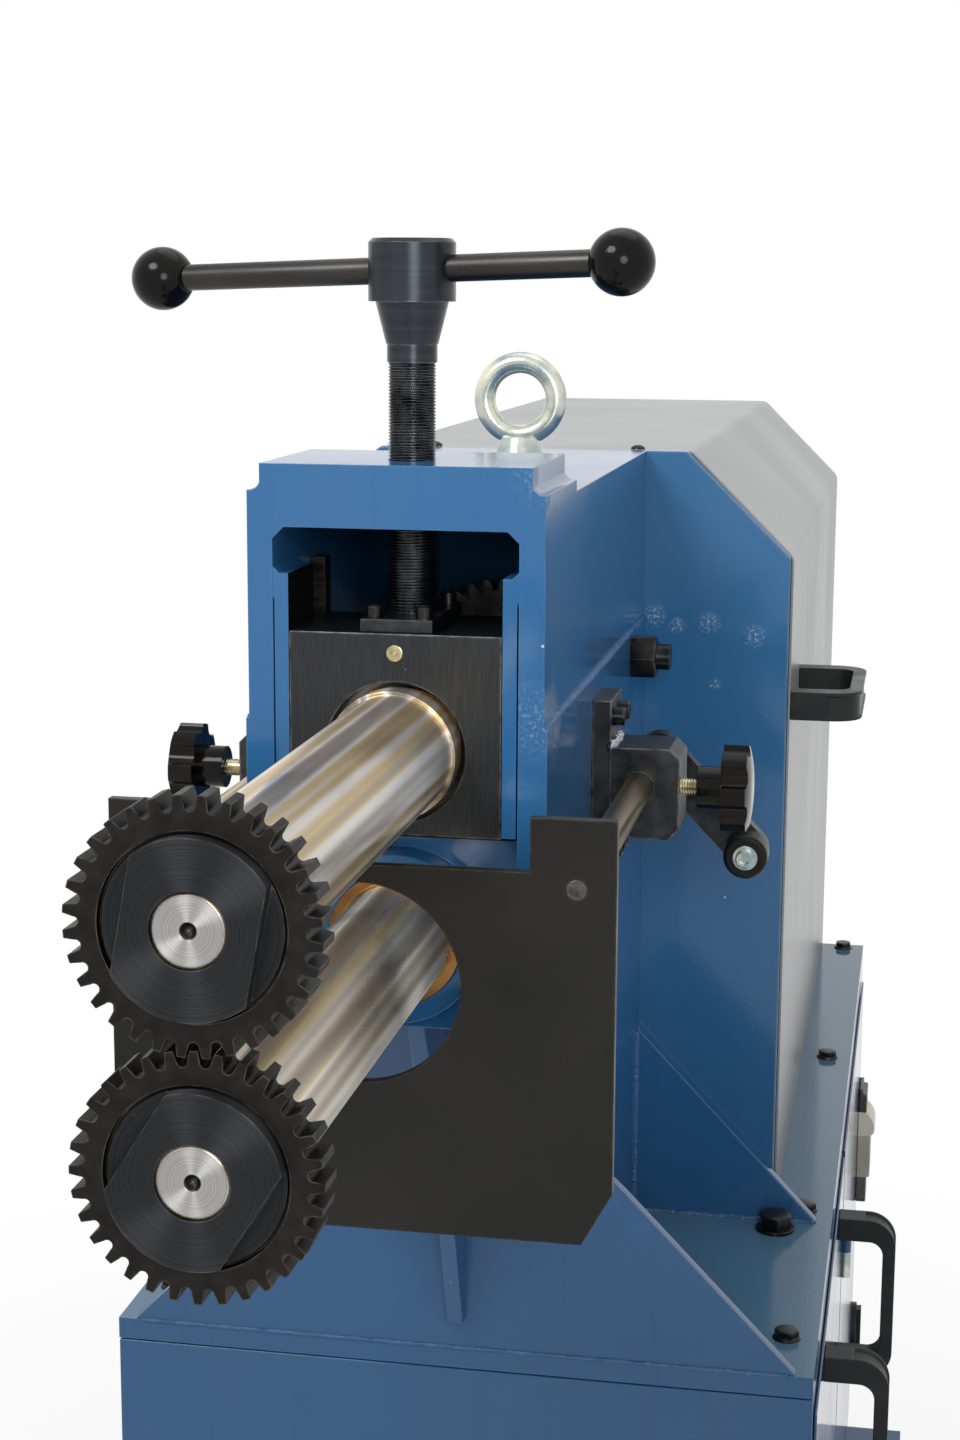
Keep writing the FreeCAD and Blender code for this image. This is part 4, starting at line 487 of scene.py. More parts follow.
def steel(name, dark, light, worn, rough, stretch, edge_width=1.2 * mm, metal=0.9, rubbed=0.7, dust_and_sheen=0.5,
          lathe=None, faced=None):
    """Steel from a dark tone to a light one in drawn marks, with oily patches and bright rubbed edges.

    The tones are paint-chart values, the last one for the edges. A turned part names its lathe: the axis
    it was turned on, and how far its rings draw a light out. A faced one names the middle of its face
    instead of the stretch of its marks.
    """
    dark, light, worn = [tint(*tone) for tone in (dark, light, worn)]
    material, tree, surface = shader(name)
    grain = faced_grain(tree, faced) if faced else use(tree, streaks, Stretch=stretch, Detail=5.0)["Value"]
    patches = use(tree, streaks, Stretch=(18.0, 18.0, 18.0), Detail=3.0)["Value"]
    tone = blended(tree, between(tree, grain, 0.36, 0.66), dark, light)
    edges = use(tree, worn_edges, Width=edge_width, Breaks=120.0)["Mask"]
    tone = blended(tree, reckon(tree, "MULTIPLY", edges, rubbed), tone, worn)
    # Light specks of the worn tone: dust, and where the share is full, as on the bright weld, painted
    # glints.
    dusty = use(tree, specks, Spread=140.0, Size=0.07, Few=0.93)["Mask"]
    tone = blended(tree, reckon(tree, "MULTIPLY", dusty, dust_and_sheen), tone, worn)
    dents = put(tree, "Bump", {"Height": grain, "Strength": 0.12, "Distance": 0.2 * mm})
    if lathe:
        rings_of_tool(tree, surface, *lathe)
    feed(tree, surface, {"Base Color": tone, "Normal": dents.outputs[0], "Metallic": metal,
                         "Roughness": between(tree, patches, 0.3, 0.7, rough - 0.05, rough + 0.08)})
    return material


bolt_steel = steel("bolt_steel", (30, 31, 33), (58, 57, 55), (150, 140, 122), 0.3, (90.0, 90.0, 90.0),
                   edge_width=0.8 * mm)
up, right, forward = Vector((0, 0, 1)), Vector((1, 0, 0)), Vector((0, -1, 0))
bolts_low, bolts_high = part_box("base_bolts")
base_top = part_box("base_plate")[1].z
flange_size = 10.5 * mm
bolt_x = bolts_high.x - flange_size
first_y, last_y = bolts_low.y + flange_size, bolts_high.y - flange_size
bolt_gap = 251 * mm
second_y = first_y + bolt_gap
spot = Vector((bolt_x, first_y, base_top))
flange_outline = [(0, 0), (0, flange_size), (0.8 * mm, flange_size), (2.3 * mm, 8.4 * mm), (2.3 * mm, 0)]


def shank(radius, deep, foot):
    """The part of a bolt that goes down into its hole."""
    return turned([(-deep, 0), (-deep, radius), (1 * mm, radius), (1 * mm, 0)], foot, up, steps=24)


bolt = joined([turned(flange_outline, spot, up), hexagon_head(16 * mm, 7 * mm, spot, up, lean=0.4),
               shank(5 * mm, 16 * mm, spot)])
bolt_set = [bolt]
for number, (side, y) in enumerate([(side, y) for side in (1, -1)
                                    for y in (first_y, second_y, (second_y + last_y) / 2, last_y)][1:]):
    there = Matrix.Translation((side * bolt_x, y, base_top)) @ Matrix.Rotation(0.9 * number, 4, "Z")
    bolt_set.append(again(bolt, there @ Matrix.Translation(-spot)))
heavy_x, heavy_y = 213 * mm, -305 * mm
heavy_spot = Vector((heavy_x, heavy_y, base_top))
washer_outline = [(0, 0), (0, 16 * mm), (2.4 * mm, 16 * mm), (3 * mm, 15.4 * mm), (3 * mm, 0)]
heavy = joined([turned(washer_outline, heavy_spot, up),
                hexagon_head(24 * mm, 14 * mm, heavy_spot, up, lean=0.2),
                shank(8 * mm, 14 * mm, heavy_spot)])
bolt_set += [heavy, again(heavy, Matrix.Translation((-2 * heavy_x, 0, 0)))]
base_bolts = ease(joined(bolt_set), 0.35 * mm, corner=25)
finish(base_bolts, "base_bolts_forged", bolt_steel, "base_bolts", "base_bolts")


# Welded head: nut block, upper and lower side plates and the roof, welded, ground flush in front and
# painted over, so that only the seam between the upper and the lower plates shows as a weld.
def united(nodes):
    """Touching solids made one skin."""
    whole, *others = [merged_copy(node, flats=False) for node in nodes]
    for other in others:
        carve(whole, other, "UNION")
    return rework(whole, merge, flatten)


head_nodes = ("nut_block", "head_side_plates", "top_plate", "lower_side_plates")
head = ease(united(head_nodes), 1.2 * mm)
side_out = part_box("head_side_plates")[1].x
column_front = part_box("nut_block")[0].y
seam_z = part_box("head_side_plates")[0].z
# The paint round the seam is wrinkled over ground welds, with painted glints on the crests of the wrinkles.
head_paint = painted("head_enamel", blue, tint(120, 160, 196), scars=(
    ((side_out - 6 * mm, column_front, seam_z + 4 * mm), 26 * mm),
    ((side_out, column_front + 30 * mm, seam_z), 34 * mm),
    ((side_out - 4 * mm, column_front, seam_z + 150 * mm), 20 * mm)))
level_shading(finish(head, "welded_head", head_paint, "nut_block", *head_nodes))
for node, width in (("lower_housing", 1.2 * mm), ("chin_plate", 0.8 * mm), ("front_plate", 1.4 * mm),
                    ("front_rib", 1.4 * mm), ("rear_gussets", 1.4 * mm)):
    eased_copy(node, width, blue_paint)

# The rear plate's edges are ground to meet the cover's sheet, with no gap between them, and their paint
# is chipped where the cover goes on and off. Its front has a few splashes of weld under the paint, with
# painted glints on the crests of their wrinkles, each given by its place across and up and its reach, in
# mm.
plate_out, plate_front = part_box("rear_plate")[1].x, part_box("rear_plate")[0].y
splashes = ((181, 1102, 11), (144, 1111, 11), (101, 1116, 11), (119, 1108, 8), (150, 1062, 6))
chipped_paint = painted("chipped_enamel", tint(50, 110, 158), tint(188, 210, 222), chips=0.86, rubbed=0.9,
                        scars=[((x * mm, plate_front, z * mm), reach * mm) for x, z, reach in splashes])
rear_plate = merged_copy("rear_plate")
to_cover = 0.9 * mm
for side in (1, -1):
    shifted(rear_plate, lambda corner, facing: corner.x * side > plate_out - 1 * mm,
            (side * to_cover, 0, 0))
ease(rear_plate, 1.4 * mm)
level_shading(finish(rear_plate, "rear_plate_ground", chipped_paint, "rear_plate", "rear_plate"))


# Ways of the slide block: hardened strips welded inside the side plates, painted over in front and
# bare, dark and oily where the block runs on them.
def split(spot, facing):
    """The step that parts a mesh's faces along a plane."""
    return "bisect", {"plane_co": spot, "plane_no": facing}


def refinish(piece, material, test):
    """Another finish for those faces in the first one whose middle and direction pass the test."""
    piece.data.materials.append(material)
    for face in piece.data.polygons:
        if face.material_index == 0 and test(face.center, face.normal):
            face.material_index = len(piece.data.materials) - 1


way_steel = steel("way_steel", (34, 35, 37), (70, 69, 66), (110, 106, 98), 0.38, (60.0, 60.0, 260.0),
                  rubbed=0.3)
rail_front, rail_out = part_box("guide_rails")[0].y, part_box("guide_rails")[1].x
rail_in, rail_long = 66.2 * mm, 60 * mm
slit_top, slit_wide = seam_z + 74 * mm, 0.9 * mm
ways = rework(merged_copy("guide_rails"), split(up * slit_top, up), split(up * (slit_top + 2 * mm), up))
for side in (1, -1):
    shifted(ways, lambda corner, facing: corner.x * side > rail_out - 0.1 * mm
            and corner.z < slit_top + 1 * mm, (-slit_wide * side, 0, 0))
level_shading(finish(ease(ways, 0.25 * mm), "guide_rails_eased", blue_paint, "guide_rails", "guide_rails"))
refinish(ways, way_steel, lambda middle, facing: abs(middle.x) < rail_in + 0.5 * mm
         or middle.y > rail_front + rail_long - 1 * mm)


# Weld beads: rows of overlapping ripples along the seams, painted over with the rest and catching the
# light on every ripple.
def bead(name, start, end, size, material, like):
    """A weld bead along a straight seam: one ripple repeated, each leaning into the one before it."""
    start, end = Vector(start), Vector(end)
    along = (end - start).normalized()
    step = size * 0.8
    ripple = begin("uv_sphere", segments=10, ring_count=6, radius=size, location=start)
    apply(ripple, "ARRAY", count=int((end - start).length / step) + 1, use_relative_offset=False,
          use_constant_offset=True, constant_offset_displace=along * step)
    work_on(ripple)
    bpy.ops.mesh.select_all(action="SELECT")
    bpy.ops.transform.vertex_random(offset=size * 0.28, seed=len(name))
    return finish(ripple, name, material, like, smooth=50)


weld_paint = painted("weld_enamel", blue, tint(110, 152, 190), gloss=0.14, chips=0.6, peel=0.4)
column_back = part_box("head_side_plates")[1].y
low_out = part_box("lower_side_plates")[1].x
gusset_low, gusset_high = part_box("rear_gussets")
plate_low, plate_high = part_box("front_plate")
for name, side in (("right", 1), ("left", -1)):
    bead("seam_weld_" + name, (side * side_out, column_front + 4 * mm, seam_z),
         (side * side_out, column_back, seam_z), 2.4 * mm, weld_paint, "lower_side_plates")
    bead("gusset_foot_weld_" + name, (side * low_out, gusset_low.y, base_top),
         (side * (gusset_high.x - 4 * mm), gusset_low.y, base_top), 2.6 * mm, weld_paint, "rear_gussets")
    bead("gusset_column_weld_" + name, (side * low_out, gusset_low.y, base_top),
         (side * low_out, gusset_low.y, gusset_high.z - 4 * mm), 2.4 * mm, weld_paint, "rear_gussets")
    bead("column_foot_weld_" + name, (side * low_out, plate_high.y, base_top),
         (side * low_out, gusset_low.y, base_top), 2.6 * mm, weld_paint, "lower_side_plates")
    bead("front_plate_weld_" + name, (side * low_out, plate_high.y, plate_low.z),
         (side * low_out, plate_high.y, plate_high.z - 6 * mm), 2.2 * mm, weld_paint, "front_plate")
bead("front_foot_weld", (plate_low.x + 6 * mm, plate_low.y, base_top),
     (plate_high.x - 6 * mm, plate_low.y, base_top), 1.6 * mm, weld_paint, "front_plate")


# Lifting eye: forged ring on a collar, zinc plated with a yellow tinge, screwed into the roof.
zinc = steel("zinc_plate", (150, 168, 172), (238, 234, 210), (255, 250, 226), 0.24, (46.0, 46.0, 46.0),
             metal=0.75, rubbed=0.3, dust_and_sheen=0.2)
eased_copy("eyebolt", 1.0 * mm, zinc, rows=3)


# Slide block: a block of dark steel, brushed top to bottom, that carries the upper shaft's front
# bearing. Its top and bottom edges and the mouth of its bore are rubbed bright.
def middle_of(node, **given):
    """The middle of a solid's box, moved to the coordinates that are given."""
    low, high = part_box(node)
    middle = (low + high) / 2
    for axis, value in given.items():
        setattr(middle, axis, value)
    return middle


block_steel = steel("slide_block_steel", (50, 52, 55), (60, 62, 65), (168, 166, 160), 0.36,
                    (1300.0, 1300.0, 50.0), edge_width=2.2 * mm, rubbed=0.8, dust_and_sheen=0.9)
bored_steel = steel("bored_steel", (104, 88, 66), (168, 156, 138), (200, 190, 170), 0.3,
                    (10.0, 500.0, 10.0))
upper_z = middle_of("upper_roll").z
mouth_reach = 45 * mm
refinish(eased_copy("slide_block", 0.8 * mm, block_steel), bored_steel, lambda middle, facing:
         math.hypot(middle.x, middle.z - upper_z) < mouth_reach and abs(facing.y) < 0.9)

# Front bearing: a ring with a hollow spherical bore pressed in from behind, and the bronze ball in it.
ring_steel = steel("ring_steel", (70, 68, 66), (130, 126, 120), (180, 176, 168), 0.25, (10.0, 400.0, 10.0))
bronze = steel("bronze", (140, 96, 50), (186, 138, 80), (214, 178, 120), 0.3, (30.0, 220.0, 30.0),
               dust_and_sheen=0.1)
eased_copy("bearing_seat", 0.5 * mm, ring_steel)
eased_copy("bearing_ball", 0.5 * mm, bronze)


# Retaining plates: two black half plates that hold the screw's collar down, and their four cap screws
# with hexagon sockets.
fitting_steel = steel("fitting_steel", (34, 36, 39), (66, 68, 70), (140, 138, 132), 0.36,
                      (70.0, 70.0, 70.0))
eased_copy("retaining_plates", 0.6 * mm, fitting_steel)


def cap_screw(radius, high, foot, axis):
    """Socket-head screw: turned head with an eased rim, drilled and broached to a hexagon."""
    foot, axis = Vector(foot), Vector(axis)
    rim = radius * 0.14
    outline = [(0, 0), (0, radius), (high - rim, radius), (high, radius - rim), (high, 0)]
    head = turned(outline, foot, axis, steps=32)
    return carve(head, prism(radius * 1.05, high, foot + axis * high * 0.42, axis))


def four_of(piece, along, across):
    """A piece and three more of its make at the other corners of a rectangle."""
    return [piece] + [again(piece, Matrix.Translation(step)) for step in (along, across, along + across)]


plate_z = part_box("retaining_plates")[1].z
low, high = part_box("retaining_screws")
keep_radius = 5 * mm
keep_spot = Vector((high.x - keep_radius, low.y + keep_radius, plate_z))
keep_screw = cap_screw(keep_radius, high.z - plate_z, keep_spot, up)
across, deep = low.x - high.x + 2 * keep_radius, high.y - low.y - 2 * keep_radius
keep_screws = joined(four_of(keep_screw, right * across, forward * -deep))
finish(keep_screws, "retaining_screws_socket", bolt_steel, "retaining_screws", "retaining_screws")


# Grease nipple: brass button set flush in the block's face, with a ball in its mouth.
brass = steel("brass", (160, 148, 104), (204, 196, 158), (240, 236, 210), 0.3, (160.0, 160.0, 160.0),
              edge_width=0.3 * mm, dust_and_sheen=0.1)
low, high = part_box("grease_nipple")
nipple_radius, nipple_high = (high.x - low.x) / 2, high.y - low.y
nipple = turned([(0, 0), (0, nipple_radius), (nipple_high * 0.5, nipple_radius),
                 (nipple_high * 0.6, nipple_radius * 0.92), (nipple_high * 0.6, nipple_radius * 0.52),
                 (nipple_high * 0.1, nipple_radius * 0.48), (nipple_high * 0.1, nipple_radius * 0.26),
                 (nipple_high * 0.85, nipple_radius * 0.2), (nipple_high, 0)],
                middle_of("grease_nipple", y=high.y), forward, steps=32)
finish(nipple, "grease_nipple_turned", brass, "grease_nipple", "grease_nipple")


# Lifting screw: black trapezoid-like fine thread from the block up to the hub, with a thrust collar at
# its foot. The crests of the thread take a lighter steel: a painted highlight.
def threaded_rod(foot, axis, length, crest, pitch, steps=32):
    """Threaded rod: one turn's profile drawn as a line and wound up along the rod, its ends filled."""
    depth = 0.55 * pitch
    profile = ((depth, 0.38), (0, 0.16), (-depth, 0.38), (0, 0.08))
    piece = drawn_line((crest - depth, 0, 0), [(out, 0, along * pitch) for out, along in profile])
    apply(piece, "SCREW", axis="Z", angle=2 * math.pi, steps=steps, render_steps=steps, screw_offset=pitch,
          iterations=int(length / pitch), use_merge_vertices=True, merge_threshold=0.01 * mm)
    rework(piece, merge, fill, turn_out)
    lean = Vector(axis).to_track_quat("Z", "Y").to_matrix().to_4x4()
    piece.data.transform(Matrix.Translation(foot) @ lean)
    return piece


thread_steel = steel("thread_steel", (26, 28, 31), (52, 54, 58), (190, 196, 200), 0.26,
                     (60.0, 60.0, 60.0), edge_width=0.25 * mm, rubbed=0.8)
low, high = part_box("adjusting_screw")
screw_radius, screw_pitch = 14.75 * mm, 2 * mm
collar_radius, collar_high = (high.x - low.x) / 2, 10 * mm
thread_foot = low.z + collar_high - 1 * mm
screw_foot = middle_of("adjusting_screw", z=thread_foot)
thread = threaded_rod(screw_foot, up, high.z - thread_foot - 1 * mm, screw_radius, screw_pitch)
thrust_collar = turned([(0, 0), (0, collar_radius), (collar_high, collar_radius), (collar_high, 0)],
                       middle_of("adjusting_screw", z=low.z), up)
lifting_screw = joined([thread, thrust_collar])
finish(lifting_screw, "lifting_screw_thread", thread_steel, "adjusting_screw", "adjusting_screw", smooth=20)
# Painted highlight: the thread's crests are given a lighter steel.
crest_highlight_steel = steel("crest_highlight_steel", (62, 66, 70), (104, 108, 110), (190, 196, 200), 0.24,
                    (60.0, 60.0, 60.0), rubbed=0.0)
refinish(lifting_screw, crest_highlight_steel, lambda middle, facing: middle.z > thread_foot
         and (middle - screw_foot).xy.length > screw_radius - 0.2 * mm)


# Handle: a turned hub with a cone, pinned on the screw, a round bar that slides through it, and a
# black ball knob at each end of the bar.
hub_steel = steel("hub_steel", (50, 54, 58), (58, 63, 68), (150, 152, 152), 0.26, (12.0, 12.0, 300.0),
                  dust_and_sheen=0.2, lathe=("Z", 0.5))
bar_steel = steel("bar_steel", (54, 52, 51), (68, 66, 64), (120, 116, 112), 0.34, (6.0, 40.0, 40.0),
                  dust_and_sheen=0.2)
eased_copy("handle_hub", 0.6 * mm, hub_steel)
eased_copy("handle_bar", 0.5 * mm, bar_steel)


def moulded(name, colour, hint, rough, grain=0.05, grain_size=900.0):
    """Moulded black plastic: even colour, a faint warm bloom, and a fine grain or a polish."""
    material, tree, surface = shader(name)
    bloom = use(tree, streaks, Stretch=(40.0, 40.0, 40.0), Detail=3.0)["Value"]
    tone = blended(tree, between(tree, bloom, 0.45, 0.7, 0.0, 0.6), colour, hint)
    lint = use(tree, specks, Spread=160.0, Size=0.06, Few=0.94)["Mask"]
    tone = blended(tree, reckon(tree, "MULTIPLY", lint, 0.35), tone, tint(160, 156, 148))
    pimples = use(tree, orange_peel, Size=grain_size, Height=grain)["Normal"]
    feed(tree, surface, {"Base Color": tone, "Normal": pimples, "Specular IOR Level": 0.16,
                         "Roughness": between(tree, bloom, 0.3, 0.7, rough * 0.8, rough * 1.3)})
    return material


ball_plastic = moulded("ball_plastic", tint(10, 10, 10), tint(24, 22, 19), 0.14)
eased_copy("ball_knobs", 0.5 * mm, ball_plastic)


# Shafts: ground steel with fine tool marks round them, and bands of painted reflection along their length,
# from brown through gold to bright; the lower shaft's are painted lighter to make up for its shade. The
# upper one has a collar at the block; both end in a threaded nose with a centre hole.
def polished(name, stops, stretch, rough, pull):
    """Ground steel: broad bands of painted reflection along the part, over the fine rings of the lathe."""
    material, tree, surface = shader(name)
    bands = use(tree, streaks, Stretch=stretch, Detail=2.0)["Value"]
    patches = use(tree, streaks, Stretch=(25.0, 6.0, 25.0), Detail=3.0)["Value"]
    skin = put(tree, "Bump", {"Height": patches, "Strength": 0.05, "Distance": 0.2 * mm})
    rings_of_tool(tree, surface, "Y", pull)
    feed(tree, surface, {"Base Color": ramp(tree, bands, stops).outputs[0], "Normal": skin.outputs[0],
                         "Metallic": 0.9,
                         "Roughness": between(tree, patches, 0.3, 0.7, rough - 0.05, rough + 0.08)})
    return material


# Painted reflection: the band tones stand for what the shafts reflect; the lower shaft's are lighter for
# its shade.
upper_reflection_tones = ((0.34, tint(112, 92, 68)), (0.42, tint(158, 152, 144)), (0.47, tint(196, 172, 128)),
               (0.52, tint(222, 216, 208)), (0.59, tint(160, 152, 144)), (0.68, tint(116, 94, 70)))
lower_reflection_tones = ((0.34, tint(156, 134, 98)), (0.42, tint(200, 192, 180)), (0.47, tint(238, 216, 168)),
                (0.52, tint(250, 246, 238)), (0.59, tint(208, 200, 186)), (0.68, tint(158, 136, 100)))
hole_deep, hole_reach = 30 * mm, 6 * mm
for node, reflection_tones in (("upper_shaft", upper_reflection_tones), ("lower_shaft", lower_reflection_tones)):
    shaft_z = middle_of(node.replace("shaft", "roll")).z
    ground_steel = polished(node + "_steel", reflection_tones, (46.0, 0.2, 46.0), 0.30, 0.8)
    faced_steel = steel(node + "_faced_steel", (160, 157, 154), (184, 182, 180), (236, 234, 228), 0.42,
                        None, dust_and_sheen=0.0, lathe=("Y", 0.95), faced=(0, 0, shaft_z))
    shaft = eased_copy(node, 0.5 * mm, ground_steel)
    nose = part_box(node)[0].y
    refinish(shaft, faced_steel, lambda middle, facing: middle.y < nose + 0.6 * mm and abs(facing.y) > 0.9)
    # The walls of the centre hole take the dark way steel: painted shade in the hole.
    refinish(shaft, way_steel, lambda middle, facing: middle.y < nose + hole_deep
             and math.hypot(middle.x, middle.z - shaft_z) < hole_reach)

# Forming rolls: hardened discs, blackened and dull, with round gullets between narrow teeth, held on
# the noses by round nuts with two flats.
roll_steel = steel("roll_steel", (33, 32, 31), (43, 40, 38), (134, 116, 92), 0.46, (110.0, 110.0, 110.0),
                   dust_and_sheen=0.2)
for level in ("upper", "lower"):
    eased_copy(level + "_roll", 0.35 * mm, roll_steel)
    nut_steel = steel(level + "_nut_steel", (42, 43, 46), (54, 55, 58), (120, 114, 104), 0.42, None,
                      dust_and_sheen=0.2, lathe=("Y", 0.95), faced=(0, 0, middle_of(level + "_roll").z))
    eased_copy(level + "_roll_nut", 0.7 * mm, nut_steel)

# Lower shaft's front bush: bronze, its thin lip just proud of the housing's boss, the rest painted over.
lip_in, bush_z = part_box("bronze_bush")[1].x - 5.2 * mm, middle_of("bronze_bush").z
refinish(eased_copy("bronze_bush", 0.3 * mm, bronze), blue_paint, lambda middle, facing: facing.y < -0.5
         and math.hypot(middle.x, middle.z - bush_z) > lip_in)

# Gears between the shafts and the lower shaft's rear housing: cut steel under the cover.
gear_steel = steel("gear_steel", (70, 70, 70), (128, 126, 120), (170, 166, 158), 0.34, (40.0, 300.0, 40.0))
for node in ("upper_gear", "lower_gear"):
    eased_copy(node, 0.3 * mm, gear_steel)

# Rocking rear bearing: a cast cradle with a bronze bush, hung on two pins that hexagon nuts lock to the
# side plates.
cast_iron = steel("cast_iron", (52, 53, 54), (84, 84, 82), (120, 118, 112), 0.55, (160.0, 160.0, 160.0),
                  metal=0.6)
eased_copy("rear_cradle", 1.0 * mm, cast_iron)
eased_copy("cradle_bush", 0.3 * mm, bronze)
nut_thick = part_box("trunnion_nuts")[1].x - low_out
pin_spot = middle_of("trunnion_nuts", x=low_out)
pin_nut = hexagon_head(30 * mm, nut_thick, pin_spot, right, lean=math.pi / 6)
pin_radius, past_nut = 10 * mm, nut_thick + 1 * mm
carve(pin_nut, turned([(-1 * mm, 0), (-1 * mm, pin_radius), (past_nut, pin_radius), (past_nut, 0)],
                      pin_spot, right))
pin_nuts = ease(joined([pin_nut, again(pin_nut, Matrix.Scale(-1, 4, right))]), 0.5 * mm, corner=20)
finish(pin_nuts, "trunnion_nuts_forged", bolt_steel, "trunnion_nuts", "trunnion_nuts")
eased_copy("trunnion_pins", 1.0 * mm, bolt_steel)


# Drive behind the rear plate: bearing housing, coaxial gearbox and finned motor, in the same blue and
# in cast iron, out of sight under the cover.
eased_copy("rear_bearing_housing", 1.0 * mm, cast_iron)
for node in ("gearbox", "motor"):
    eased_copy(node, 0.8 * mm, blue_paint)


# Cover: pale grey sheet bent over the corners and closed at the back, its front edge over the rear
# plate, held by two button screws, with a moulded handle on its right side.
grey_paint = painted("grey_enamel", tint(152, 155, 155), tint(178, 181, 181), gloss=0.28, chips=0.99,
                     peel=0.05, rubbed=0.3, runs=0.0)
eased_copy("rear_cover", 0.4 * mm, grey_paint)
low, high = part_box("cover_screws")
button_radius, button_high = 6 * mm, high.z - low.z
button_spot = middle_of("cover_screws", x=high.x - button_radius, z=low.z)
dome = [(button_high * math.sin(angle), button_radius * math.cos(angle))
        for angle in [step * math.pi / 12 for step in range(7)]]
button = turned([(0, 0)] + dome[:-1] + [(button_high, 0)], button_spot, up, steps=32)
carve(button, prism(5 * mm, button_high, button_spot + up * button_high * 0.45, up))
buttons = joined([button, again(button, Matrix.Translation((-2 * button_spot.x, 0, 0)))])
finish(buttons, "cover_screws_button", bolt_steel, "cover_screws", "cover_screws")


def channelled_bow(node, across, hub, flat_from):
    """A moulded bow with a sunk panel in its outer face, from shoulder to shoulder.

    across is the direction of its width, hub a point inside it, flat_from where the panel starts.
    """
    piece = rework(merged_copy(node), split((flat_from, 0, 0), right))
    work_on(piece)
    pick("faces", lambda middle, facing: abs(facing.dot(across)) < 0.5 and middle.x > flat_from
         and facing.dot(middle - hub(middle)) > 0)
    bpy.ops.mesh.inset(thickness=3 * mm, depth=0)
    bpy.ops.mesh.inset(thickness=0.3 * mm, depth=-1.6 * mm)
    ease(piece, 1.6 * mm, rows=3, corner=40)
    level_shading(finish(piece, node + "_moulded", handle_plastic, node, node))


handle_plastic = moulded("handle_plastic", tint(38, 40, 40), tint(54, 55, 53), 0.34, grain=0.3,
                         grain_size=1400.0)
handle_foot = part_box("cover_handle")[0].x
grip_middle = middle_of("cover_handle", x=handle_foot + 12 * mm)
channelled_bow("cover_handle", up, lambda middle: grip_middle, handle_foot + 26 * mm)


# Depth gauge: a stop plate across both shafts on two guide rods, with an arm and a round grip on the
# tail of the right-hand rod.
plate_steel = steel("stop_plate_steel", (33, 33, 31), (42, 41, 38), (110, 92, 70), 0.42, (9.0, 9.0, 9.0),
                    metal=0.7, edge_width=1.8 * mm, rubbed=0.6, dust_and_sheen=0.3)
eased_copy("stop_plate", 0.8 * mm, plate_steel)
# Painted reflection: the rods' bands of tone, brown through bright, stand for what they reflect.
rod_reflection_tones = ((0.36, tint(96, 80, 52)), (0.48, tint(150, 132, 98)), (0.56, tint(196, 182, 150)),
             (0.66, tint(120, 102, 72)))
rod_steel = polished("guide_rod_steel", rod_reflection_tones, (60.0, 0.5, 60.0), 0.3, 0.0)
sawn_steel = steel("sawn_steel", (60, 60, 62), (96, 95, 94), (150, 146, 140), 0.4, (240.0, 240.0, 240.0))
rod_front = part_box("gauge_rods")[0].y
refinish(eased_copy("gauge_rods", 0.5 * mm, rod_steel), sawn_steel,
         lambda middle, facing: middle.y < rod_front + 0.6 * mm)
eased_copy("gauge_lever", 1.2 * mm, fitting_steel)
grip_plastic = moulded("grip_plastic", tint(20, 20, 19), tint(40, 38, 34), 0.34, grain=0.2)
eased_copy("lever_grip", 1.0 * mm, grip_plastic, rows=3)
low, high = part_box("lever_screw")
grip_face = middle_of("lever_screw", y=high.y)
washer_radius, washer_thick, bevel = (high.x - low.x) / 2, 2 * mm, 0.5 * mm
washer = turned([(0, 0), (0, washer_radius), (washer_thick - bevel, washer_radius),
                 (washer_thick, washer_radius - bevel), (washer_thick, 0)], grip_face, forward)
lever_cap = cap_screw(6.5 * mm, high.y - low.y - washer_thick, grip_face + forward * washer_thick, forward)
finish(joined([washer, lever_cap]), "lever_screw_socket", zinc, "lever_screw", "lever_screw")


# Clamp brackets: black steel flanges screwed to the side plates, each with a welded clamp block bored
# for its rod. The weld was left bare and bright.
bracket_steel = steel("bracket_steel", (46, 47, 50), (70, 71, 73), (168, 164, 160), 0.42,
                      (80.0, 80.0, 80.0), edge_width=2.4 * mm, rubbed=0.8)
eased_copy("clamp_brackets", 1.4 * mm, bracket_steel)
low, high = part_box("bracket_screws")
bracket_face = high.x - 8 * mm
cap_radius = 6.5 * mm
cap_spot = Vector((bracket_face, low.y + cap_radius, low.z + cap_radius))
cap = cap_screw(cap_radius, high.x - bracket_face, cap_spot, right)
deep, rise = high.y - low.y - 2 * cap_radius, high.z - low.z - 2 * cap_radius
caps = four_of(cap, forward * -deep, up * rise)
caps += [again(one, Matrix.Scale(-1, 4, right)) for one in caps]
finish(joined(caps), "bracket_screws_socket", bolt_steel, "bracket_screws", "bracket_screws")
# Its light specks, at full share, stand for dust and for painted glints on the ripples.
bright_weld = steel("bright_weld", (110, 112, 116), (190, 194, 198), (250, 250, 250), 0.22,
                    (300.0, 300.0, 300.0), dust_and_sheen=1.0)
clamp_front, clamp_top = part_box("clamp_brackets")[0].y, base_top + 452 * mm
for name, side in (("right", 1), ("left", -1)):
    weld_x = side * (bracket_face + 1 * mm)
    bead("clamp_weld_" + name, (weld_x, clamp_front + 4 * mm, clamp_top),
         (weld_x, clamp_front + 44 * mm, clamp_top), 4.0 * mm, bright_weld, "clamp_brackets")


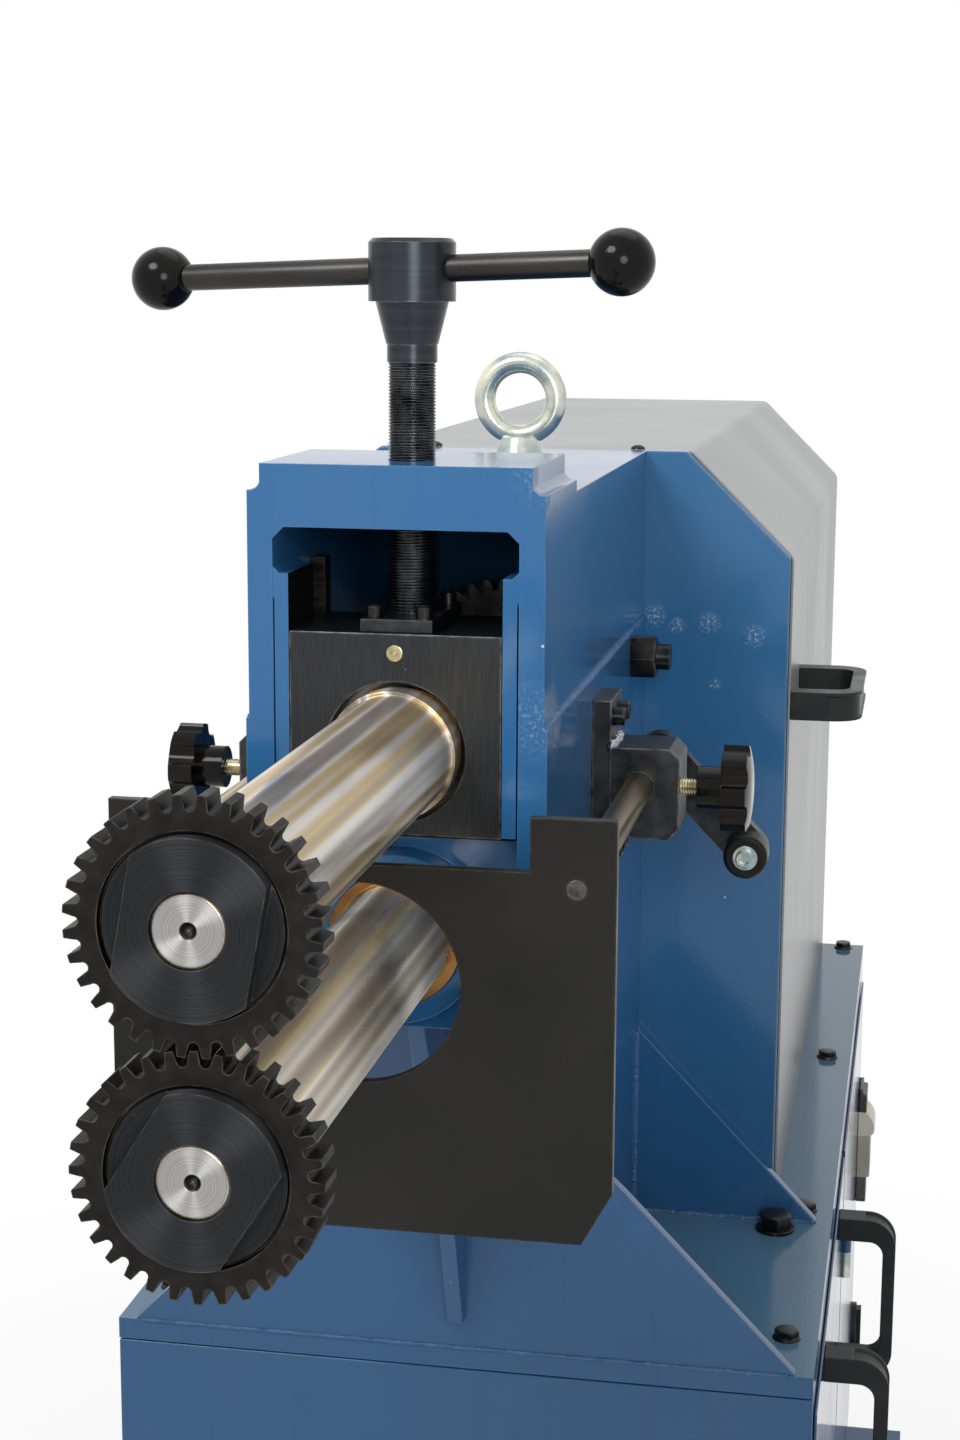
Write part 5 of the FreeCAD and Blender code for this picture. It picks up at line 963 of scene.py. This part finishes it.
# Star knobs: seven-lobed black knobs with a low dome, polished, each on a threaded stud that clamps
# its rod.
stud_steel = steel("stud_steel", (150, 132, 84), (222, 214, 180), (255, 250, 230), 0.2,
                   (60.0, 60.0, 60.0), dust_and_sheen=0.1)
star_plastic = moulded("star_plastic", tint(10, 9, 8), tint(36, 28, 18), 0.12)
stud_radius, stud_pitch = 6 * mm, 1.75 * mm
knob_deep = 37.5 * mm
for node, side in (("star_knob_right", 1), ("star_knob_left", -1)):
    low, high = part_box(node)
    inner, outer = (low.x, high.x) if side == 1 else (high.x, low.x)
    hub_foot = outer - side * knob_deep
    knob = merged_copy(node)
    work_on(knob)
    pick("faces", lambda middle, facing: (hub_foot - middle.x) * side > 0.1 * mm)
    bpy.ops.mesh.delete(type="FACE")
    ease(rework(knob, fill), 1.3 * mm, rows=3, corner=25)
    level_shading(finish(knob, node + "_moulded", star_plastic, node, node))
    stud_long = abs(hub_foot - inner) + 1 * mm
    stud = threaded_rod(middle_of(node, x=inner), right * side, stud_long, stud_radius, stud_pitch, 24)
    finish(stud, node + "_stud", stud_steel, node, smooth=20)


# Side panel: a folded sheet that lifts off the side's front doorway by two moulded pull handles.
eased_copy("side_panel", 0.6 * mm, blue_paint)
pull_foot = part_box("panel_handles")[0].x
pull_middle = middle_of("panel_handles", x=pull_foot + 12 * mm)
channelled_bow("panel_handles", forward, lambda middle: Vector((pull_middle.x, middle.y, pull_middle.z)),
               pull_foot + 20 * mm)

# Rear door: a folded sheet on two lift-off hinges, with a quarter-turn latch and the isolator on it.
eased_copy("rear_door", 0.6 * mm, blue_paint)
eased_copy("door_hinges", 0.5 * mm, zinc)
eased_copy("door_latch", 1.2 * mm, handle_plastic, rows=3)


# Isolator: a moulded housing in four colours from the top down: a black cap, a cream dome, a beige
# body and a dark foot.
def isolator_plastic():
    """Moulded plastic in level bands of colour, with a faint warm bloom."""
    material, tree, surface = shader("isolator_plastic")
    low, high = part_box("isolator_box")
    place = put(tree, "TexCoord").outputs["Object"]
    height = between(tree, put(tree, "SeparateXYZ", {0: place}).outputs["Z"], low.z, high.z)
    bands = ramp(tree, height, ((0.0, tint(84, 80, 76)), (0.23, tint(186, 178, 160)),
                                (0.59, tint(226, 218, 200)), (0.80, tint(22, 23, 23))))
    bands.color_ramp.interpolation = "CONSTANT"
    bloom = use(tree, streaks, Stretch=(50.0, 50.0, 20.0), Detail=3.0)["Value"]
    tone = blended(tree, between(tree, bloom, 0.45, 0.7, 0.0, 0.25), bands.outputs[0], tint(120, 112, 98))
    pimples = use(tree, orange_peel, Size=1200.0, Height=0.15)["Normal"]
    feed(tree, surface, {"Base Color": tone, "Normal": pimples,
                         "Roughness": between(tree, bloom, 0.3, 0.7, 0.24, 0.40)})
    return material


eased_copy("isolator_box", 1.6 * mm, isolator_plastic(), rows=3)
